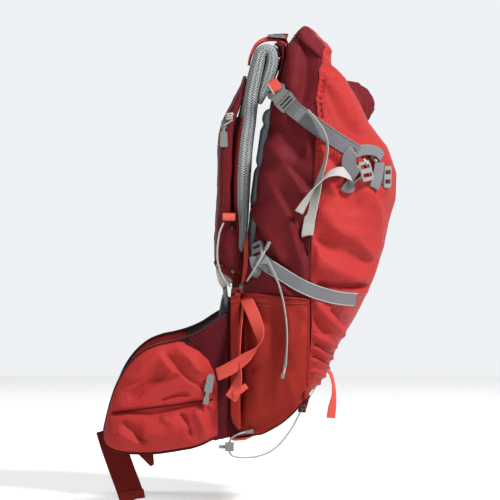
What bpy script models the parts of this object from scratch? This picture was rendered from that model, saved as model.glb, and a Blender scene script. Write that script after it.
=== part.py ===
"""Ski backpack, hanging by its haul loop.

+X is the outer side of the pack, -X is the wearer's side, -Y is the wearer's left and +Z is up.
The origin is the underside of the haul loop's crown, where a hook would carry the pack.
Sizes below are in millimetres, and the helpers turn them into metres.
"""
from math import copysign, cos, pi, sin

import bmesh
import bpy
from mathutils import Matrix, Vector

MM = 0.001
OBJECT_NAME = "ski_backpack"
SIDES = (("left", -1.0), ("right", 1.0))
UP = Vector((0, 0, 1))
ACROSS = Vector((0, 1, 0))

# Bag shell: height, back, side seam, front, half width, from the base up to the peak.
BAG_STATIONS = (
    (-608, -76, -66, -56, 40),
    (-600, -84, -60, -42, 80),
    (-588, -82, -40, -16, 108),
    (-570, -78, -10, 10, 122),
    (-552, -72, 12, 27, 130),
    (-534, -70, 26, 38, 134),
    (-498, -69, 34, 58, 139),
    (-462, -69, 38, 74, 142),
    (-426, -68, 39, 97, 144),
    (-390, -66, 37, 116, 145),
    (-354, -55, 36, 132, 146),
    (-318, -47, 37, 144, 146),
    (-282, -42, 38, 150, 145),
    (-246, -40, 39, 160, 144),
    (-210, -35, 42, 162, 142),
    (-174, -29, 43, 149, 138),
    (-138, -24, 42, 121, 132),
    (-102, -18, 44, 104, 124),
    (-66, -8, 51, 90, 116),
    (-48, -4, 50, 70, 112),
    (-30, 2, 48, 69, 108),
    (0, 20, 40, 58, 100),
)
FRONT_POWER = 2.3
BACK_POWER = 5.0
BAG_WALL = 3.0
BAG_SIDES = 32
# Heights of each upper ring at the back and at the front: the mouth slopes down to the front.
MOUTH_RINGS = ((-78, -90), (-50, -76), (-24, -60), (0, -46))
HINGE_X = 18.0
HINGE_Z = 0.3

# Lid: a slab over the mouth, given as lift above the mouth and scale of the mouth's outline.
LID_LEAN = Vector((0.3, 0, 0.95))
LID_RINGS = ((2.8, 1.0), (8, 0.95), (16, 0.88), (22, 0.7))
LID_CROWN = 24.0
LID_WALL = 2.5

SKIN_GAP = 1.3
FRONT_POCKET = {"top": -104, "bottom": -530, "half_turn": 1.2, "thickness": 7.0}
SIDE_POCKET_THICKNESS = 4.0
POCKET_CORNER_LIFT = 2.5
BACK_PAD_THICKNESS = 9.0
LUMBAR_THICKNESS = 12.0
SHEET_THICKNESS = 1.5
STAY_THICKNESS = 3.0
STAY_WIDTH = 20.0

STRAP_Y = 70.0
STRAP_WIDTH = 62.0
STRAP_THICKNESS = 14.0
STRAP_TWIST = 0.15
STRAP_ROUTE = (
    (-38, -106), (-29, -84), (-20, -62), (-19, -38), (-30, -22), (-43, -34), (-50, -62), (-56, -90),
    (-60, -120), (-63, -155), (-65, -190), (-66, -230), (-67, -265), (-69, -300), (-74, -330), (-81, -362),
)
STRAP_POCKET = {"top": -128, "bottom": -350, "width": 52.0, "thickness": 20.0}

WEBBING = 2.0
WEB_25 = 25.0
WEB_20 = 20.0
WEB_38 = 38.0

# Hip wing: distance along X, top edge, bottom edge and distance from the middle plane.
WING_STATIONS = (
    (-84, -415, -592, 110), (-105, -428, -600, 122), (-130, -444, -611, 130), (-160, -455, -617, 130),
    (-187, -461, -621, 130), (-211, -472, -622, 130), (-234, -495, -621, 130), (-250, -524, -618, 128),
    (-262, -562, -612, 122), (-268, -590, -603, 116),
)
WING_THICKNESS = 14.0
HIP_POCKET_STATIONS = (
    (-110, -508, -598), (-124, -466, -603), (-150, -460, -610), (-187, -468, -615), (-211, -479, -616),
    (-232, -502, -615), (-246, -530, -612), (-254, -556, -606),
)
HIP_POCKET_THICKNESS = 12.0
HIP_POCKET_Y = 137.6
ZIP_START = Vector((-116, 0, -543))

BUCKLE_LENGTH = 27.0
BUCKLE_WIDTH = 31.0
BUCKLE_HEIGHT = 8.5
PRONG_CLEARANCE = 0.4
CORD_RADIUS = 1.5

COLOURS = {
    "burgundy": (0.20, 0.022, 0.028, 0.75),
    "bright_red": (0.55, 0.055, 0.05, 0.6),
    "brick": (0.28, 0.035, 0.022, 0.8),
    "grey_webbing": (0.18, 0.19, 0.19, 0.8),
    "red_webbing": (0.55, 0.08, 0.06, 0.8),
    "dark_webbing": (0.085, 0.012, 0.010, 0.8),
    "grey_plastic": (0.42, 0.43, 0.41, 0.45),
    "mesh_grey": (0.17, 0.18, 0.19, 0.9),
    "navy": (0.035, 0.035, 0.055, 0.9),
    "cord_grey": (0.50, 0.49, 0.47, 0.85),
    "alloy": (0.65, 0.66, 0.68, 0.35),
    "board": (0.05, 0.05, 0.05, 0.6),
    "bead_red": (0.62, 0.08, 0.04, 0.5),
}


def start_scene():
    """Empty the scene and give back the collections for the parts and for the cutters."""
    for item in list(bpy.data.objects):
        bpy.data.objects.remove(item)
    made = []
    for name in (OBJECT_NAME, OBJECT_NAME + "_cutters"):
        collection = bpy.data.collections.new(name)
        bpy.context.scene.collection.children.link(collection)
        made.append(collection)
    return made


PARTS, CUTTERS = start_scene()


def finish(name, finish_name):
    """A Principled material of the part's own, in the named colour."""
    red, green, blue, roughness = COLOURS[finish_name]
    made = bpy.data.materials.new(name)
    made.use_nodes = True
    shader = made.node_tree.nodes["Principled BSDF"]
    shader.inputs["Base Color"].default_value = (red, green, blue, 1.0)
    shader.inputs["Roughness"].default_value = roughness
    shader.inputs["Metallic"].default_value = 0.9 if finish_name == "alloy" else 0.0
    return made


def place(name, data, finish_name, matrix=None):
    """Put mesh or curve data in the scene as the part called name."""
    part = bpy.data.objects.new(name, data)
    PARTS.objects.link(part)
    data.materials.append(finish(name, finish_name))
    if matrix is not None:
        part.matrix_world = matrix
    return part


def lerp(low, high, share):
    """Value at a share of the way from low to high."""
    return low + (high - low) * share


def smooth_route(points, spacing):
    """Points about spacing apart on the smooth curve through the given ones."""
    knots = [Vector(point) for point in points]
    route = []
    for i in range(len(knots) - 1):
        before, start, end = knots[max(i - 1, 0)], knots[i], knots[i + 1]
        after = knots[min(i + 2, len(knots) - 1)]
        steps = max(1, round((end - start).length / spacing))
        for k in range(steps):
            t = k / steps
            route.append(0.5 * (2 * start + (end - before) * t
                                + (2 * before - 5 * start + 4 * end - after) * t * t
                                + (3 * start - before - 3 * end + after) * t ** 3))
    route.append(knots[-1])
    return route


def profile_at(height):
    """Back, seam, front and half width of the bag at a height."""
    height = min(max(height, BAG_STATIONS[0][0]), BAG_STATIONS[-1][0])
    for low, high in zip(BAG_STATIONS, BAG_STATIONS[1:]):
        if height <= high[0]:
            share = (height - low[0]) / (high[0] - low[0])
            return [lerp(a, b, share) for a, b in zip(low[1:], high[1:])]
    return list(BAG_STATIONS[-1][1:])


def bag_point(height, turn):
    """Point of the bag's outside at a height and a turn about its upright axis from the front."""
    back, seam, front, half = profile_at(height)
    power, reach = (FRONT_POWER, front - seam) if cos(turn) >= 0 else (BACK_POWER, seam - back)
    x = seam + copysign(abs(cos(turn)) ** (2 / power), cos(turn)) * reach
    y = copysign(abs(sin(turn)) ** (2 / power), sin(turn)) * half
    return Vector((x, y, height))


def side_point(x, z, side):
    """Point of the bag's flank that is seen at x and z from that side."""
    back, seam, front, half = profile_at(z)
    reach, power = (front - seam, FRONT_POWER) if x >= seam else (seam - back, BACK_POWER)
    share = min(abs(x - seam) / reach, 0.995)
    return Vector((x, side * half * (1 - share ** power) ** (1 / power), z))


def back_point(y, z):
    """Point of the bag's back panel at y and z."""
    back, seam, _front, half = profile_at(z)
    share = min(abs(y) / half, 0.98)
    return Vector((seam - (seam - back) * (1 - share ** BACK_POWER) ** (1 / BACK_POWER), y, z))


def side_normal(x, z, side):
    """Outward direction of the bag's flank at x and z."""
    along = side_point(x + 1.5, z, side) - side_point(x - 1.5, z, side)
    rise = side_point(x, z + 1.5, side) - side_point(x, z - 1.5, side)
    normal = along.cross(rise).normalized()
    return normal if normal.y * side > 0 else -normal


def side_lifted(x, z, side, lift):
    """Point at a lift above the bag's flank."""
    return side_point(x, z, side) + side_normal(x, z, side) * lift


def solidify(part, thickness, offset):
    """Give an open surface a thickness: offset 1 is outwards, -1 inwards and 0 both ways."""
    shell = part.modifiers.new("shell", "SOLIDIFY")
    shell.thickness = thickness * MM
    shell.offset = offset
    shell.use_even_offset = True
    return part


def grid_mesh(name, rows, outward, ring=False, pole=None):
    """Mesh of a grid of points in millimetres, with its faces towards outward."""
    work = bmesh.new()
    grid = [[work.verts.new(Vector(point) * MM) for point in row] for row in rows]
    for low, high in zip(grid, grid[1:]):
        for i in range(len(low) if ring else len(low) - 1):
            k = (i + 1) % len(low)
            work.faces.new((low[i], low[k], high[k], high[i]))
    if pole is not None:
        tip = work.verts.new(Vector(pole) * MM)
        for i, vert in enumerate(grid[-1]):
            work.faces.new((vert, grid[-1][(i + 1) % len(grid[-1])], tip))
    work.normal_update()
    middle = sum((vert.co for vert in work.verts), Vector()) / len(work.verts)
    for face in work.faces:
        way = face.calc_center_median() - middle if outward is None else outward
        face.tag = face.normal.dot(way) > 0
    if sum(face.tag for face in work.faces) * 2 < len(work.faces):
        bmesh.ops.reverse_faces(work, faces=work.faces)
    mesh = bpy.data.meshes.new(name)
    work.to_mesh(mesh)
    work.free()
    return mesh


def sheet(name, rows, outward, thickness, finish_name, offset=1):
    """A layer of the given thickness that grows outwards from a grid of points."""
    return solidify(place(name, grid_mesh(name, rows, outward), finish_name), thickness, offset)


def strip(name, route, across, width, thickness, finish_name, outward):
    """Webbing or padding along a route, whose width lies along the across directions."""
    rows = []
    for i, point in enumerate(route):
        along = (route[min(i + 1, len(route) - 1)] - route[max(i - 1, 0)]).normalized()
        way = across[i] if isinstance(across, list) else across
        way = (way - along * way.dot(along)).normalized()
        rows.append([point - way * width / 2, point + way * width / 2])
    return sheet(name, rows, outward, thickness, finish_name, offset=0)


def flank_strip(name, route, side, width, finish_name, lift_at):
    """Webbing that lies on the bag's flank; lift_at gives its height over the fabric at x."""
    points = smooth_route(route, 9)
    rows = []
    for i, point in enumerate(points):
        along = (points[min(i + 1, len(points) - 1)] - points[max(i - 1, 0)]).normalized()
        step = Vector((-along.y, along.x)) * width / 2
        edges = [point + step * share for share in (-1, 0, 1)]
        rows.append([side_lifted(e.x, e.y, side, lift_at(point.x)) for e in edges])
    return sheet(name, rows, Vector((0.2, side, 0)), WEBBING, finish_name)


def tube(name, route, radius, finish_name, spacing):
    """A cord along a smooth route."""
    points = smooth_route(route, spacing)
    curve = bpy.data.curves.new(name, "CURVE")
    curve.dimensions = "3D"
    curve.bevel_depth = radius * MM
    curve.bevel_resolution = 2
    curve.use_fill_caps = True
    spline = curve.splines.new("POLY")
    spline.points.add(len(points) - 1)
    for knot, point in zip(spline.points, points):
        knot.co = (*(point * MM), 1.0)
    return place(name, curve, finish_name)


def plate(name, outlines, thickness, finish_name, matrix):
    """A flat plate from closed outlines: the first is its edge and the rest are its holes."""
    curve = bpy.data.curves.new(name, "CURVE")
    curve.dimensions = "2D"
    curve.fill_mode = "BOTH"
    curve.extrude = thickness * MM / 2
    for outline in outlines:
        spline = curve.splines.new("POLY")
        spline.points.add(len(outline) - 1)
        for knot, (x, y) in zip(spline.points, outline):
            knot.co = (x * MM, y * MM, 0.0, 1.0)
        spline.use_cyclic_u = True
    return place(name, curve, finish_name, matrix)


def to_mesh(part):
    """Turn a curve part into a welded mesh part, so that it can be cut."""
    evaluated = part.evaluated_get(bpy.context.evaluated_depsgraph_get())
    mesh = bpy.data.meshes.new_from_object(evaluated)
    work = bmesh.new()
    work.from_mesh(mesh)
    bmesh.ops.remove_doubles(work, verts=work.verts, dist=0.00001)
    work.to_mesh(mesh)
    work.free()
    name, matrix = part.name, part.matrix_world.copy()
    bpy.data.objects.remove(part)
    made = bpy.data.objects.new(name, mesh)
    PARTS.objects.link(made)
    made.matrix_world = matrix
    return made


def box_mesh(name, size, centre):
    """Mesh of a box of the given size about a centre."""
    work = bmesh.new()
    bmesh.ops.create_cube(work, size=1.0)
    bmesh.ops.scale(work, verts=work.verts, vec=Vector(size) * MM)
    bmesh.ops.translate(work, verts=work.verts, vec=Vector(centre) * MM)
    mesh = bpy.data.meshes.new(name)
    work.to_mesh(mesh)
    work.free()
    return mesh


def boolean_box(part, size, centre):
    """Cut a box, given in the part's own directions, out of a part."""
    number = len(part.modifiers)
    name = f"{part.name}_tool_{number}"
    tool = bpy.data.objects.new(name, box_mesh(name, size, centre))
    CUTTERS.objects.link(tool)
    tool.matrix_world = part.matrix_world
    tool.hide_render = True
    tool.display_type = "WIRE"
    change = part.modifiers.new(f"change_{number}", "BOOLEAN")
    change.operation = "DIFFERENCE"
    change.solver = "EXACT"
    change.object = tool


def frame_at(centre, along, normal):
    """Matrix whose X is along, whose Z is normal and whose place is centre."""
    z = Vector(normal).normalized()
    x = (Vector(along) - z * Vector(along).dot(z)).normalized()
    turn = Matrix((x, z.cross(x), z)).transposed().to_4x4()
    return Matrix.Translation(Vector(centre) * MM) @ turn


def rectangle(low_x, high_x, half_y):
    """Outline of an upright rectangle, even about the X axis."""
    return ((low_x, -half_y), (high_x, -half_y), (high_x, half_y), (low_x, half_y))


def buckle_socket(name, matrix, scale=1.0):
    """Waisted side-release socket, with its mouth towards +X and a webbing bar at -X."""
    length, half, height = BUCKLE_LENGTH * scale, BUCKLE_WIDTH * scale / 2, BUCKLE_HEIGHT * scale
    outline = (
        (-length, -half * 0.8), (-length * 0.6, -half), (-length * 0.3, -half * 0.82), (0, -half),
        (0, half), (-length * 0.3, half * 0.82), (-length * 0.6, half), (-length, half * 0.8),
    )
    slot = rectangle(-length * 0.92, -length * 0.78, half * 0.68)
    part = to_mesh(plate(name, (outline, slot), height, "grey_plastic", matrix))
    boolean_box(part, (length * 0.66, half * 1.36, height * 0.55), (-length * 0.29, 0, 0))
    boolean_box(part, (length * 0.3, half * 2.6, height * 0.5), (-length * 0.36, 0, 0))
    return part


def buckle_prongs(name, matrix, scale=1.0):
    """Side-release half with two webbing bars and three prongs that run into the socket."""
    length, half, height = BUCKLE_LENGTH * scale, BUCKLE_WIDTH * scale / 2, BUCKLE_HEIGHT * scale
    frame_end = length * 0.62
    depth = length * 0.52
    reach = half * 0.68 - PRONG_CLEARANCE
    outline = [(0.4, -half), (frame_end, -half * 0.9), (frame_end, half * 0.9), (0.4, half)]
    prongs = ((reach, reach - 0.2 * half), (0.1 * half, -0.1 * half), (0.2 * half - reach, -reach))
    for high, low in prongs:
        outline += [(0.4, high), (-depth, high), (-depth, low), (0.4, low)]
    slots = [rectangle(length * share, length * (share + 0.13), half * 0.68) for share in (0.14, 0.38)]
    return plate(name, (outline, *slots), height * 0.55 - 2 * PRONG_CLEARANCE, "grey_plastic", matrix)


def ladder_lock(name, matrix, length, width, thickness):
    """Flat adjuster with two webbing slots across it."""
    half = width / 2
    outline = (
        (-length / 2, -half * 0.85), (-length * 0.35, -half), (length * 0.35, -half), (length / 2, -half * 0.85),
        (length / 2, half * 0.85), (length * 0.35, half), (-length * 0.35, half), (-length / 2, half * 0.85),
    )
    slots = [rectangle(length * low, length * (low + 0.2), half * 0.76) for low in (-0.32, 0.12)]
    return plate(name, (outline, *slots), thickness, "grey_plastic", matrix)


def ring_at(back_height, front_height):
    """Ring of the bag in a plane that runs from one height at the back to another in front."""
    back_x = profile_at(back_height)[0]
    front_x = profile_at(front_height)[2]
    ring = []
    for i in range(BAG_SIDES):
        turn = 2 * pi * i / BAG_SIDES
        point = bag_point((back_height + front_height) / 2, turn)
        for _attempt in range(12):
            share = (point.x - back_x) / (front_x - back_x)
            target = bag_point(lerp(back_height, front_height, share), turn)
            point = (point + target) / 2
        ring.append(point)
    return ring


def make_bag():
    """Bag shell, open at the sloping mouth."""
    levels = [row[0] for row in BAG_STATIONS if row[0] <= -102]
    rings = [ring_at(level, level) for level in levels]
    rings += [ring_at(*heights) for heights in MOUTH_RINGS]
    base = Vector((profile_at(levels[0])[1], 0, levels[0] - 1.5))
    mesh = grid_mesh("main_bag", rings[::-1], None, ring=True, pole=base)
    solidify(place("main_bag", mesh, "burgundy"), BAG_WALL, -1)


def make_lid():
    """Lid shell over the mouth, which swings about the top edge of the back."""
    mouth = ring_at(*MOUTH_RINGS[-1])
    centre = sum(mouth, Vector()) / len(mouth)
    rings = [[centre + (point - centre) * scale + LID_LEAN * lift for point in mouth]
             for lift, scale in LID_RINGS]
    hinge = Vector((HINGE_X, 0, HINGE_Z))
    rings = [[point - hinge for point in ring] for ring in rings]
    crown = centre + LID_LEAN * LID_CROWN - hinge
    mesh = grid_mesh("lid", rings, None, ring=True, pole=crown)
    part = place("lid", mesh, "bright_red", Matrix.Translation(hinge * MM))
    solidify(part, LID_WALL, -1)


def make_front_pocket():
    """Front compartment panel over the rounded front of the bag."""
    levels = [row[0] for row in BAG_STATIONS if FRONT_POCKET["bottom"] <= row[0] <= FRONT_POCKET["top"]]
    levels = [FRONT_POCKET["bottom"], *levels, FRONT_POCKET["top"]]
    steps = 14
    rows = []
    for level in levels:
        row = []
        for i in range(steps + 1):
            turn = FRONT_POCKET["half_turn"] * (2 * i / steps - 1)
            point = bag_point(level, turn)
            flank_x = min(point.x, profile_at(level)[2] - 4)
            normal = side_normal(flank_x, level, copysign(1, turn))
            normal = Vector((1, 0, 0)).lerp(normal, min(1, abs(turn) / 0.25))
            row.append(point + normal.normalized() * SKIN_GAP)
        rows.append(row)
    sheet("front_pocket", rows, Vector((1, 0, 0)), FRONT_POCKET["thickness"], "bright_red")


def make_side_pocket(label, side):
    """Stretch side pocket, lying empty against the flank."""
    columns = ((-57, -386, -560), (-53, -386, -564), (-47, -386, -566), (-38, -387, -567), (-24, -388, -566),
               (-10, -390, -562), (4, -392, -552), (18, -394, -538), (28, -395, -524))
    rows = []
    for x, top, bottom in columns:
        lift = SKIN_GAP + POCKET_CORNER_LIFT * max(0, (-x - 24) / 33)
        rows.append([side_lifted(x, lerp(top, bottom, k / 8), side, lift) for k in range(9)])
    sheet(f"side_pocket_{label}", rows, Vector((0, side, 0)), SIDE_POCKET_THICKNESS, "brick")


def back_layer(name, half_width, columns, heights, standoff, thickness, finish_name, middle=0.0):
    """A layer over the back panel; a positive standoff is outside the bag, towards the wearer."""
    rows = []
    for height in heights:
        ys = [middle + half_width * (2 * i / columns - 1) for i in range(columns + 1)]
        rows.append([back_point(y, height) - Vector((standoff, 0, 0)) for y in ys])
    way = Vector((-1 if standoff > 0 else 1, 0, 0))
    sheet(name, rows, way, thickness, finish_name)


def make_back():
    """Back and lumbar padding outside, the frame sheet and its two stays inside."""
    levels = [row[0] for row in BAG_STATIONS]
    back_layer("back_pad", 92, 6, [z for z in levels if -370 < z < -110] + [-112], 1.0,
               BACK_PAD_THICKNESS, "mesh_grey")
    back_layer("lumbar_pad", 96, 6, [z for z in levels if -575 < z < -385] + [-380], 1.0,
               LUMBAR_THICKNESS, "navy")
    inner = [z for z in levels if -560 < z < -60]
    back_layer("frame_sheet", 84, 6, inner, -BAG_WALL - 1.6, SHEET_THICKNESS, "board")
    for label, side in SIDES:
        standoff = -BAG_WALL - 2.2 - SHEET_THICKNESS
        back_layer(f"frame_stay_{label}", STAY_WIDTH / 2, 1, inner, standoff, STAY_THICKNESS,
                   "alloy", middle=side * 46)


def make_haul_loop():
    """Carrying loop of webbing at the top of the back."""
    half = [(-7, 24, -34), (-5, 23, -20), (-2.5, 17, -7), (-0.5, 9, -0.5)]
    route = [Vector((x, -y, z)) for x, y, z in half] + [Vector((0, 0, WEBBING / 2))]
    route += [Vector((x, y, z)) for x, y, z in reversed(half)]
    points = smooth_route(route, 7)
    strip("haul_loop", points, Vector((1, 0, 0)), 14, WEBBING, "dark_webbing", UP)


def strap_points(spacing=11):
    """Centre line of a shoulder strap in the X-Z plane."""
    return smooth_route([Vector((x, 0, z)) for x, z in STRAP_ROUTE], spacing)


def strap_across(height, side):
    """Width direction of a shoulder strap: it turns a little outwards half way down."""
    twist = STRAP_TWIST * max(0.0, min(1.0, (height + 345) / 60, (-90 - height) / 40))
    return Vector((-side * twist, 1, 0)).normalized()


def make_shoulder_strap(label, side):
    """Padded shoulder strap, from its anchor over the arch and down to its free end."""
    route = [point + ACROSS * side * STRAP_Y for point in strap_points()]
    across = [strap_across(point.z, side) for point in route]
    strip(f"shoulder_strap_{label}", route, across, STRAP_WIDTH, STRAP_THICKNESS, "mesh_grey",
          Vector((-1, 0, 0)))


def make_strap_pocket():
    """Zipped pocket on the outer face of the left shoulder strap."""
    stand = STRAP_THICKNESS / 2 + 1 + STRAP_POCKET["thickness"] / 2
    route = [point + Vector((-stand, -STRAP_Y, 0)) for point in strap_points()[12:]
             if STRAP_POCKET["bottom"] <= point.z <= STRAP_POCKET["top"]]
    across = [strap_across(point.z, -1) for point in route]
    strip("strap_pocket", route, across, STRAP_POCKET["width"], STRAP_POCKET["thickness"], "bright_red",
          Vector((-1, 0, 0)))


def make_load_lifter(label, side):
    """Webbing from the shoulder strap over its arch to the top of the bag, with its adjuster."""
    y = side * 54
    route = smooth_route([(-60, y, -48), (-55, y, -30), (-46, y, -13), (-32, y, -6), (-12, y, -7),
                          (4, y, -12)], 9)
    strip(f"load_lifter_{label}", route, ACROSS, WEB_20, WEBBING, "red_webbing", UP)
    matrix = frame_at((-11, y, -2.8), (1, 0, -0.08), (0.08, 0, 1))
    ladder_lock(f"lifter_buckle_{label}", matrix, 26, 27, 4)


def make_upper_compression(label, side):
    """Upper side strap: sewn tab, side-release buckle and webbing to the front."""
    mouth = Vector((1.5, -98.5))
    way = Vector((0.72, -0.69))
    normal = side_normal(mouth.x, mouth.y, side)
    centre = side_lifted(mouth.x, mouth.y, side, BUCKLE_HEIGHT / 2 + 2.5)
    matrix = frame_at(centre, (way.x, 0, way.y), normal)
    buckle_socket(f"upper_buckle_{label}", matrix)
    buckle_prongs(f"upper_clip_{label}", matrix)
    bar, bend = [matrix @ Vector((-(BUCKLE_LENGTH + gap) * MM, 0, 0)) / MM for gap in (2, 7)]
    tab = [bar, bend, bend + Vector((3, side * 4, 8)), bend + Vector((14, side * 6, 16))]
    crosswise, flat = matrix.to_3x3().col[1] * side, Vector((0.69, 0, 0.72))
    flat = flat if flat.dot(crosswise) > 0 else -flat
    strip(f"buckle_tab_{label}", tab, [crosswise, crosswise, flat, flat], 18, WEBBING, "red_webbing",
          Vector((0, side, 0)))
    flank_strip(f"upper_strap_{label}", ((25, -126), (40, -138), (76, -163), (97, -173)), side,
                WEB_25, "grey_webbing", lambda x: lerp(1.5, 10.5, min(1, max(0, (x - 30) / 22))))


def make_lower_compression(label, side):
    """Lower side strap and its adjuster."""
    flank_strip(f"lower_strap_{label}", ((-26, -345), (-3, -357), (39, -380), (72, -390), (98, -393)),
                side, 22, "grey_webbing", lambda x: lerp(1.5, 10.5, min(1, max(0, (x - 32) / 20))))
    normal = side_normal(-36, -322, side)
    centre = side_lifted(-36, -322, side, 4.5)
    ladder_lock(f"lower_buckle_{label}", frame_at(centre, (0.5, 0, -1), normal), 26, 25, 4.5)


def make_front_group():
    """Front strap ends: webbing bridge, its two adjusters and the strap's long tail."""
    side = -1
    lift = FRONT_POCKET["thickness"] + SKIN_GAP + 2
    flank_strip("front_strap", ((108, -177), (124, -176), (136, -184)), side, 16, "grey_webbing",
                lambda _x: lift)
    ladder_lock("front_cam", frame_at(side_lifted(112, -206, side, lift + 4), (0.25, 0, -1),
                                      side_normal(112, -206, side)), 30, 22, 4)
    ladder_lock("front_buckle", frame_at(side_lifted(142, -212, side, lift + 2), (0, 0, -1),
                                         side_normal(142, -212, side)), 32, 22, 5)
    route = smooth_route([(92, -142, -206), (72, -152, -212), (46, -158, -236), (22, -157, -262)], 9)
    strip("front_tail", route, Vector((0.5, 0, 0.87)), WEB_20, WEBBING, "grey_webbing", Vector((0, -1, 0)))


def make_foot_strap():
    """Webbing loop that hangs at the foot of the front panel."""
    loop = smooth_route([(68, -20, -505), (76, -20, -525), (75, -20, -545), (70, -20, -578)], 9)
    strip("foot_strap", loop, Vector((1, 0.6, 0)), 14, WEBBING, "red_webbing", Vector((0, -1, 0)))


def make_sternum():
    """Chest strap: socket on the left strap, prongs and webbing on the right one."""
    matrix = frame_at((-74, -14, -190), (0, 1, 0), (-1, 0, 0))
    buckle_socket("sternum_buckle", matrix, 0.8)
    buckle_prongs("sternum_clip", matrix, 0.8)
    route = smooth_route([(-76, 14, -190), (-77, 34, -190), (-79, 66, -190)], 12)
    strip("sternum_strap", route, UP, WEB_20, WEBBING, "dark_webbing", Vector((-1, 0, 0)))


def make_adjuster(label, side):
    """Ladder lock at the free end of a shoulder strap, and its webbing down to the base."""
    top = Vector((-90, side * 78, -374))
    matrix = Matrix.Translation(top * MM) @ frame_at((0, 0, 0), (0.12, 0, -1), (-1, 0, -0.12))
    part = ladder_lock(f"adjuster_{label}", Matrix.Identity(4), 34, 28, 5)
    part.data.transform(Matrix.Translation((17 * MM, 0, 0)))
    part.matrix_world = matrix
    route = smooth_route([(-86, side * 88, -420), (-88, side * 90, -450), (-92, side * 88, -490)], 12)
    strip(f"adjust_strap_{label}", route, Vector((0.5, side * -0.86, 0)), WEB_20, WEBBING,
          "red_webbing", Vector((-1, 0, 0)))


def wing_rows(stations, distance_at, steps):
    """Grid of a hip wing's layer: upright columns from the top edge to the bottom edge."""
    rows = []
    for station in stations:
        x, top, bottom = station[:3]
        rows.append([Vector((x, distance_at(station), lerp(top, bottom, k / steps)))
                     for k in range(steps + 1)])
    return rows


def make_wing(label, side):
    """Padded hip wing with its pocket, zip slider and webbing, all turning on one upright axis."""
    outward = Vector((0, side, 0))
    sheet(f"wing_{label}", wing_rows(WING_STATIONS, lambda s: side * s[3], 4), outward,
          WING_THICKNESS, "navy", offset=0)
    sheet(f"hip_pocket_{label}", wing_rows(HIP_POCKET_STATIONS, lambda _s: side * HIP_POCKET_Y, 3),
          outward, HIP_POCKET_THICKNESS, "bright_red")
    face = HIP_POCKET_Y + HIP_POCKET_THICKNESS
    centre = ZIP_START + Vector((0, side * (face + 2.2), 0))
    matrix = frame_at(centre, (0.2, 0, 1), (0, side, 0))
    pull = ((-5, -4), (4, -4), (7, -2.5), (12, -2.5), (14, -6), (38, -5), (40, -3), (40, 3),
            (38, 5), (14, 6), (12, 2.5), (7, 2.5), (4, 4), (-5, 4))
    plate(f"hip_zip_pull_{label}", (pull,), 3.2, "grey_plastic", matrix)


def make_belt():
    """Hip webbing on both wings; the right one carries the closed belt buckle."""
    route = smooth_route([(-262, -110, -590), (-254, -109, -618), (-240, -109, -655), (-227, -109, -692)], 13)
    strip("hip_strap_left", route, Vector((1, 0, 0.35)), WEB_38, WEBBING, "dark_webbing", Vector((0, -1, 0)))
    route = smooth_route([(-248, 116, -590), (-247, 98, -589), (-246, 76, -588)], 12)
    strip("hip_strap_right", route, UP, WEB_38, WEBBING, "dark_webbing", Vector((-1, 0, 0)))
    matrix = frame_at((-246, 42, -588), (0, -1, 0), (-1, 0, 0))
    buckle_socket("hip_buckle", matrix, 1.2)
    buckle_prongs("hip_clip", matrix, 1.2)


def make_pocket_zip_pull():
    """Slider of the strap pocket's zip, with its hanging pull."""
    face = STRAP_Y + STRAP_POCKET["width"] / 2
    matrix = frame_at((-90, -face - 3.0, -134), (0, 0, -1), (0, -1, 0))
    pull = ((-5, -4), (5, -4), (7, -2), (10, -2), (12, -5), (32, -6), (34, -4), (34, 4),
            (32, 6), (12, 5), (10, 2), (7, 2), (5, 4), (-5, 4))
    plate("pocket_zip_pull", (pull,), 3.2, "grey_plastic", matrix)


def make_cords():
    """Cord and lock at the base, pole keeper on the strap pocket and the side pocket's drawcord."""
    y = -118
    plate("base_tab", (((-4, -7), (4, -7), (4, 7), (-4, 7)),), 3, "dark_webbing",
          frame_at((29, y, -554), (1, 0, 0), (0, -1, 0)))
    route = [(24, y, -562.8), (20, y, -570), (10, y, -588), (-6, y, -609), (-21, y, -621), (-39, y, -628),
             (-55, y, -630), (-69, y, -629.5), (-77, y, -627.5), (-81.2, y, -623), (-81.5, y, -618),
             (-81.5, y, -610), (-80, y, -603), (-73, y, -597), (-62, y, -593), (-50, y, -591)]
    tube("base_cord", route, CORD_RADIUS, "cord_grey", 4)
    work = to_mesh(plate("cord_lock", (((-6.5, -6.5), (6.5, -6.5), (6.5, 6.5), (-6.5, 6.5)),), 9,
                         "grey_plastic", frame_at((-81.5, y, -614), (1, 0, 0), (0, -1, 0))))
    boolean_box(work, (4.4, 20, 4.4), (0, 0, 0))
    boolean_box(work, (5, 5.6, 5.6), (-5.2, 0, 0))
    plate("cord_lock_button", (((-5, -2.5), (5, -2.5), (5, 2.5), (-5, 2.5)),), 5, "bead_red",
          frame_at((-92.1, y, -614), (1, 0, 0), (0, -1, 0)))
    bead_y = -STRAP_Y - STRAP_POCKET["width"] / 2 - 12.0
    bead = bpy.data.curves.new("pole_bead", "CURVE")
    bead.dimensions = "3D"
    bead.bevel_depth = 6 * MM
    bead.bevel_resolution = 2
    bead.use_fill_caps = True
    line = bead.splines.new("POLY")
    line.points.add(1)
    line.points[0].co = (-0.0915, bead_y * MM, -0.272, 1)
    line.points[1].co = (-0.073, bead_y * MM, -0.272, 1)
    place("pole_bead", bead, "bead_red")
    route = [(-90, bead_y, -280), (-97, bead_y, -298), (-100, bead_y, -328), (-97, bead_y, -348),
             (-90, bead_y, -364), (-80, bead_y, -376)]
    tube("pole_cord", route, CORD_RADIUS, "cord_grey", 4)
    route = [(-55, -128, -366), (-48, -148, -354), (-40, -158, -340), (-32, -161, -326), (-25, -160, -314)]
    tube("toggle_cord", route, CORD_RADIUS, "cord_grey", 4)


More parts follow.
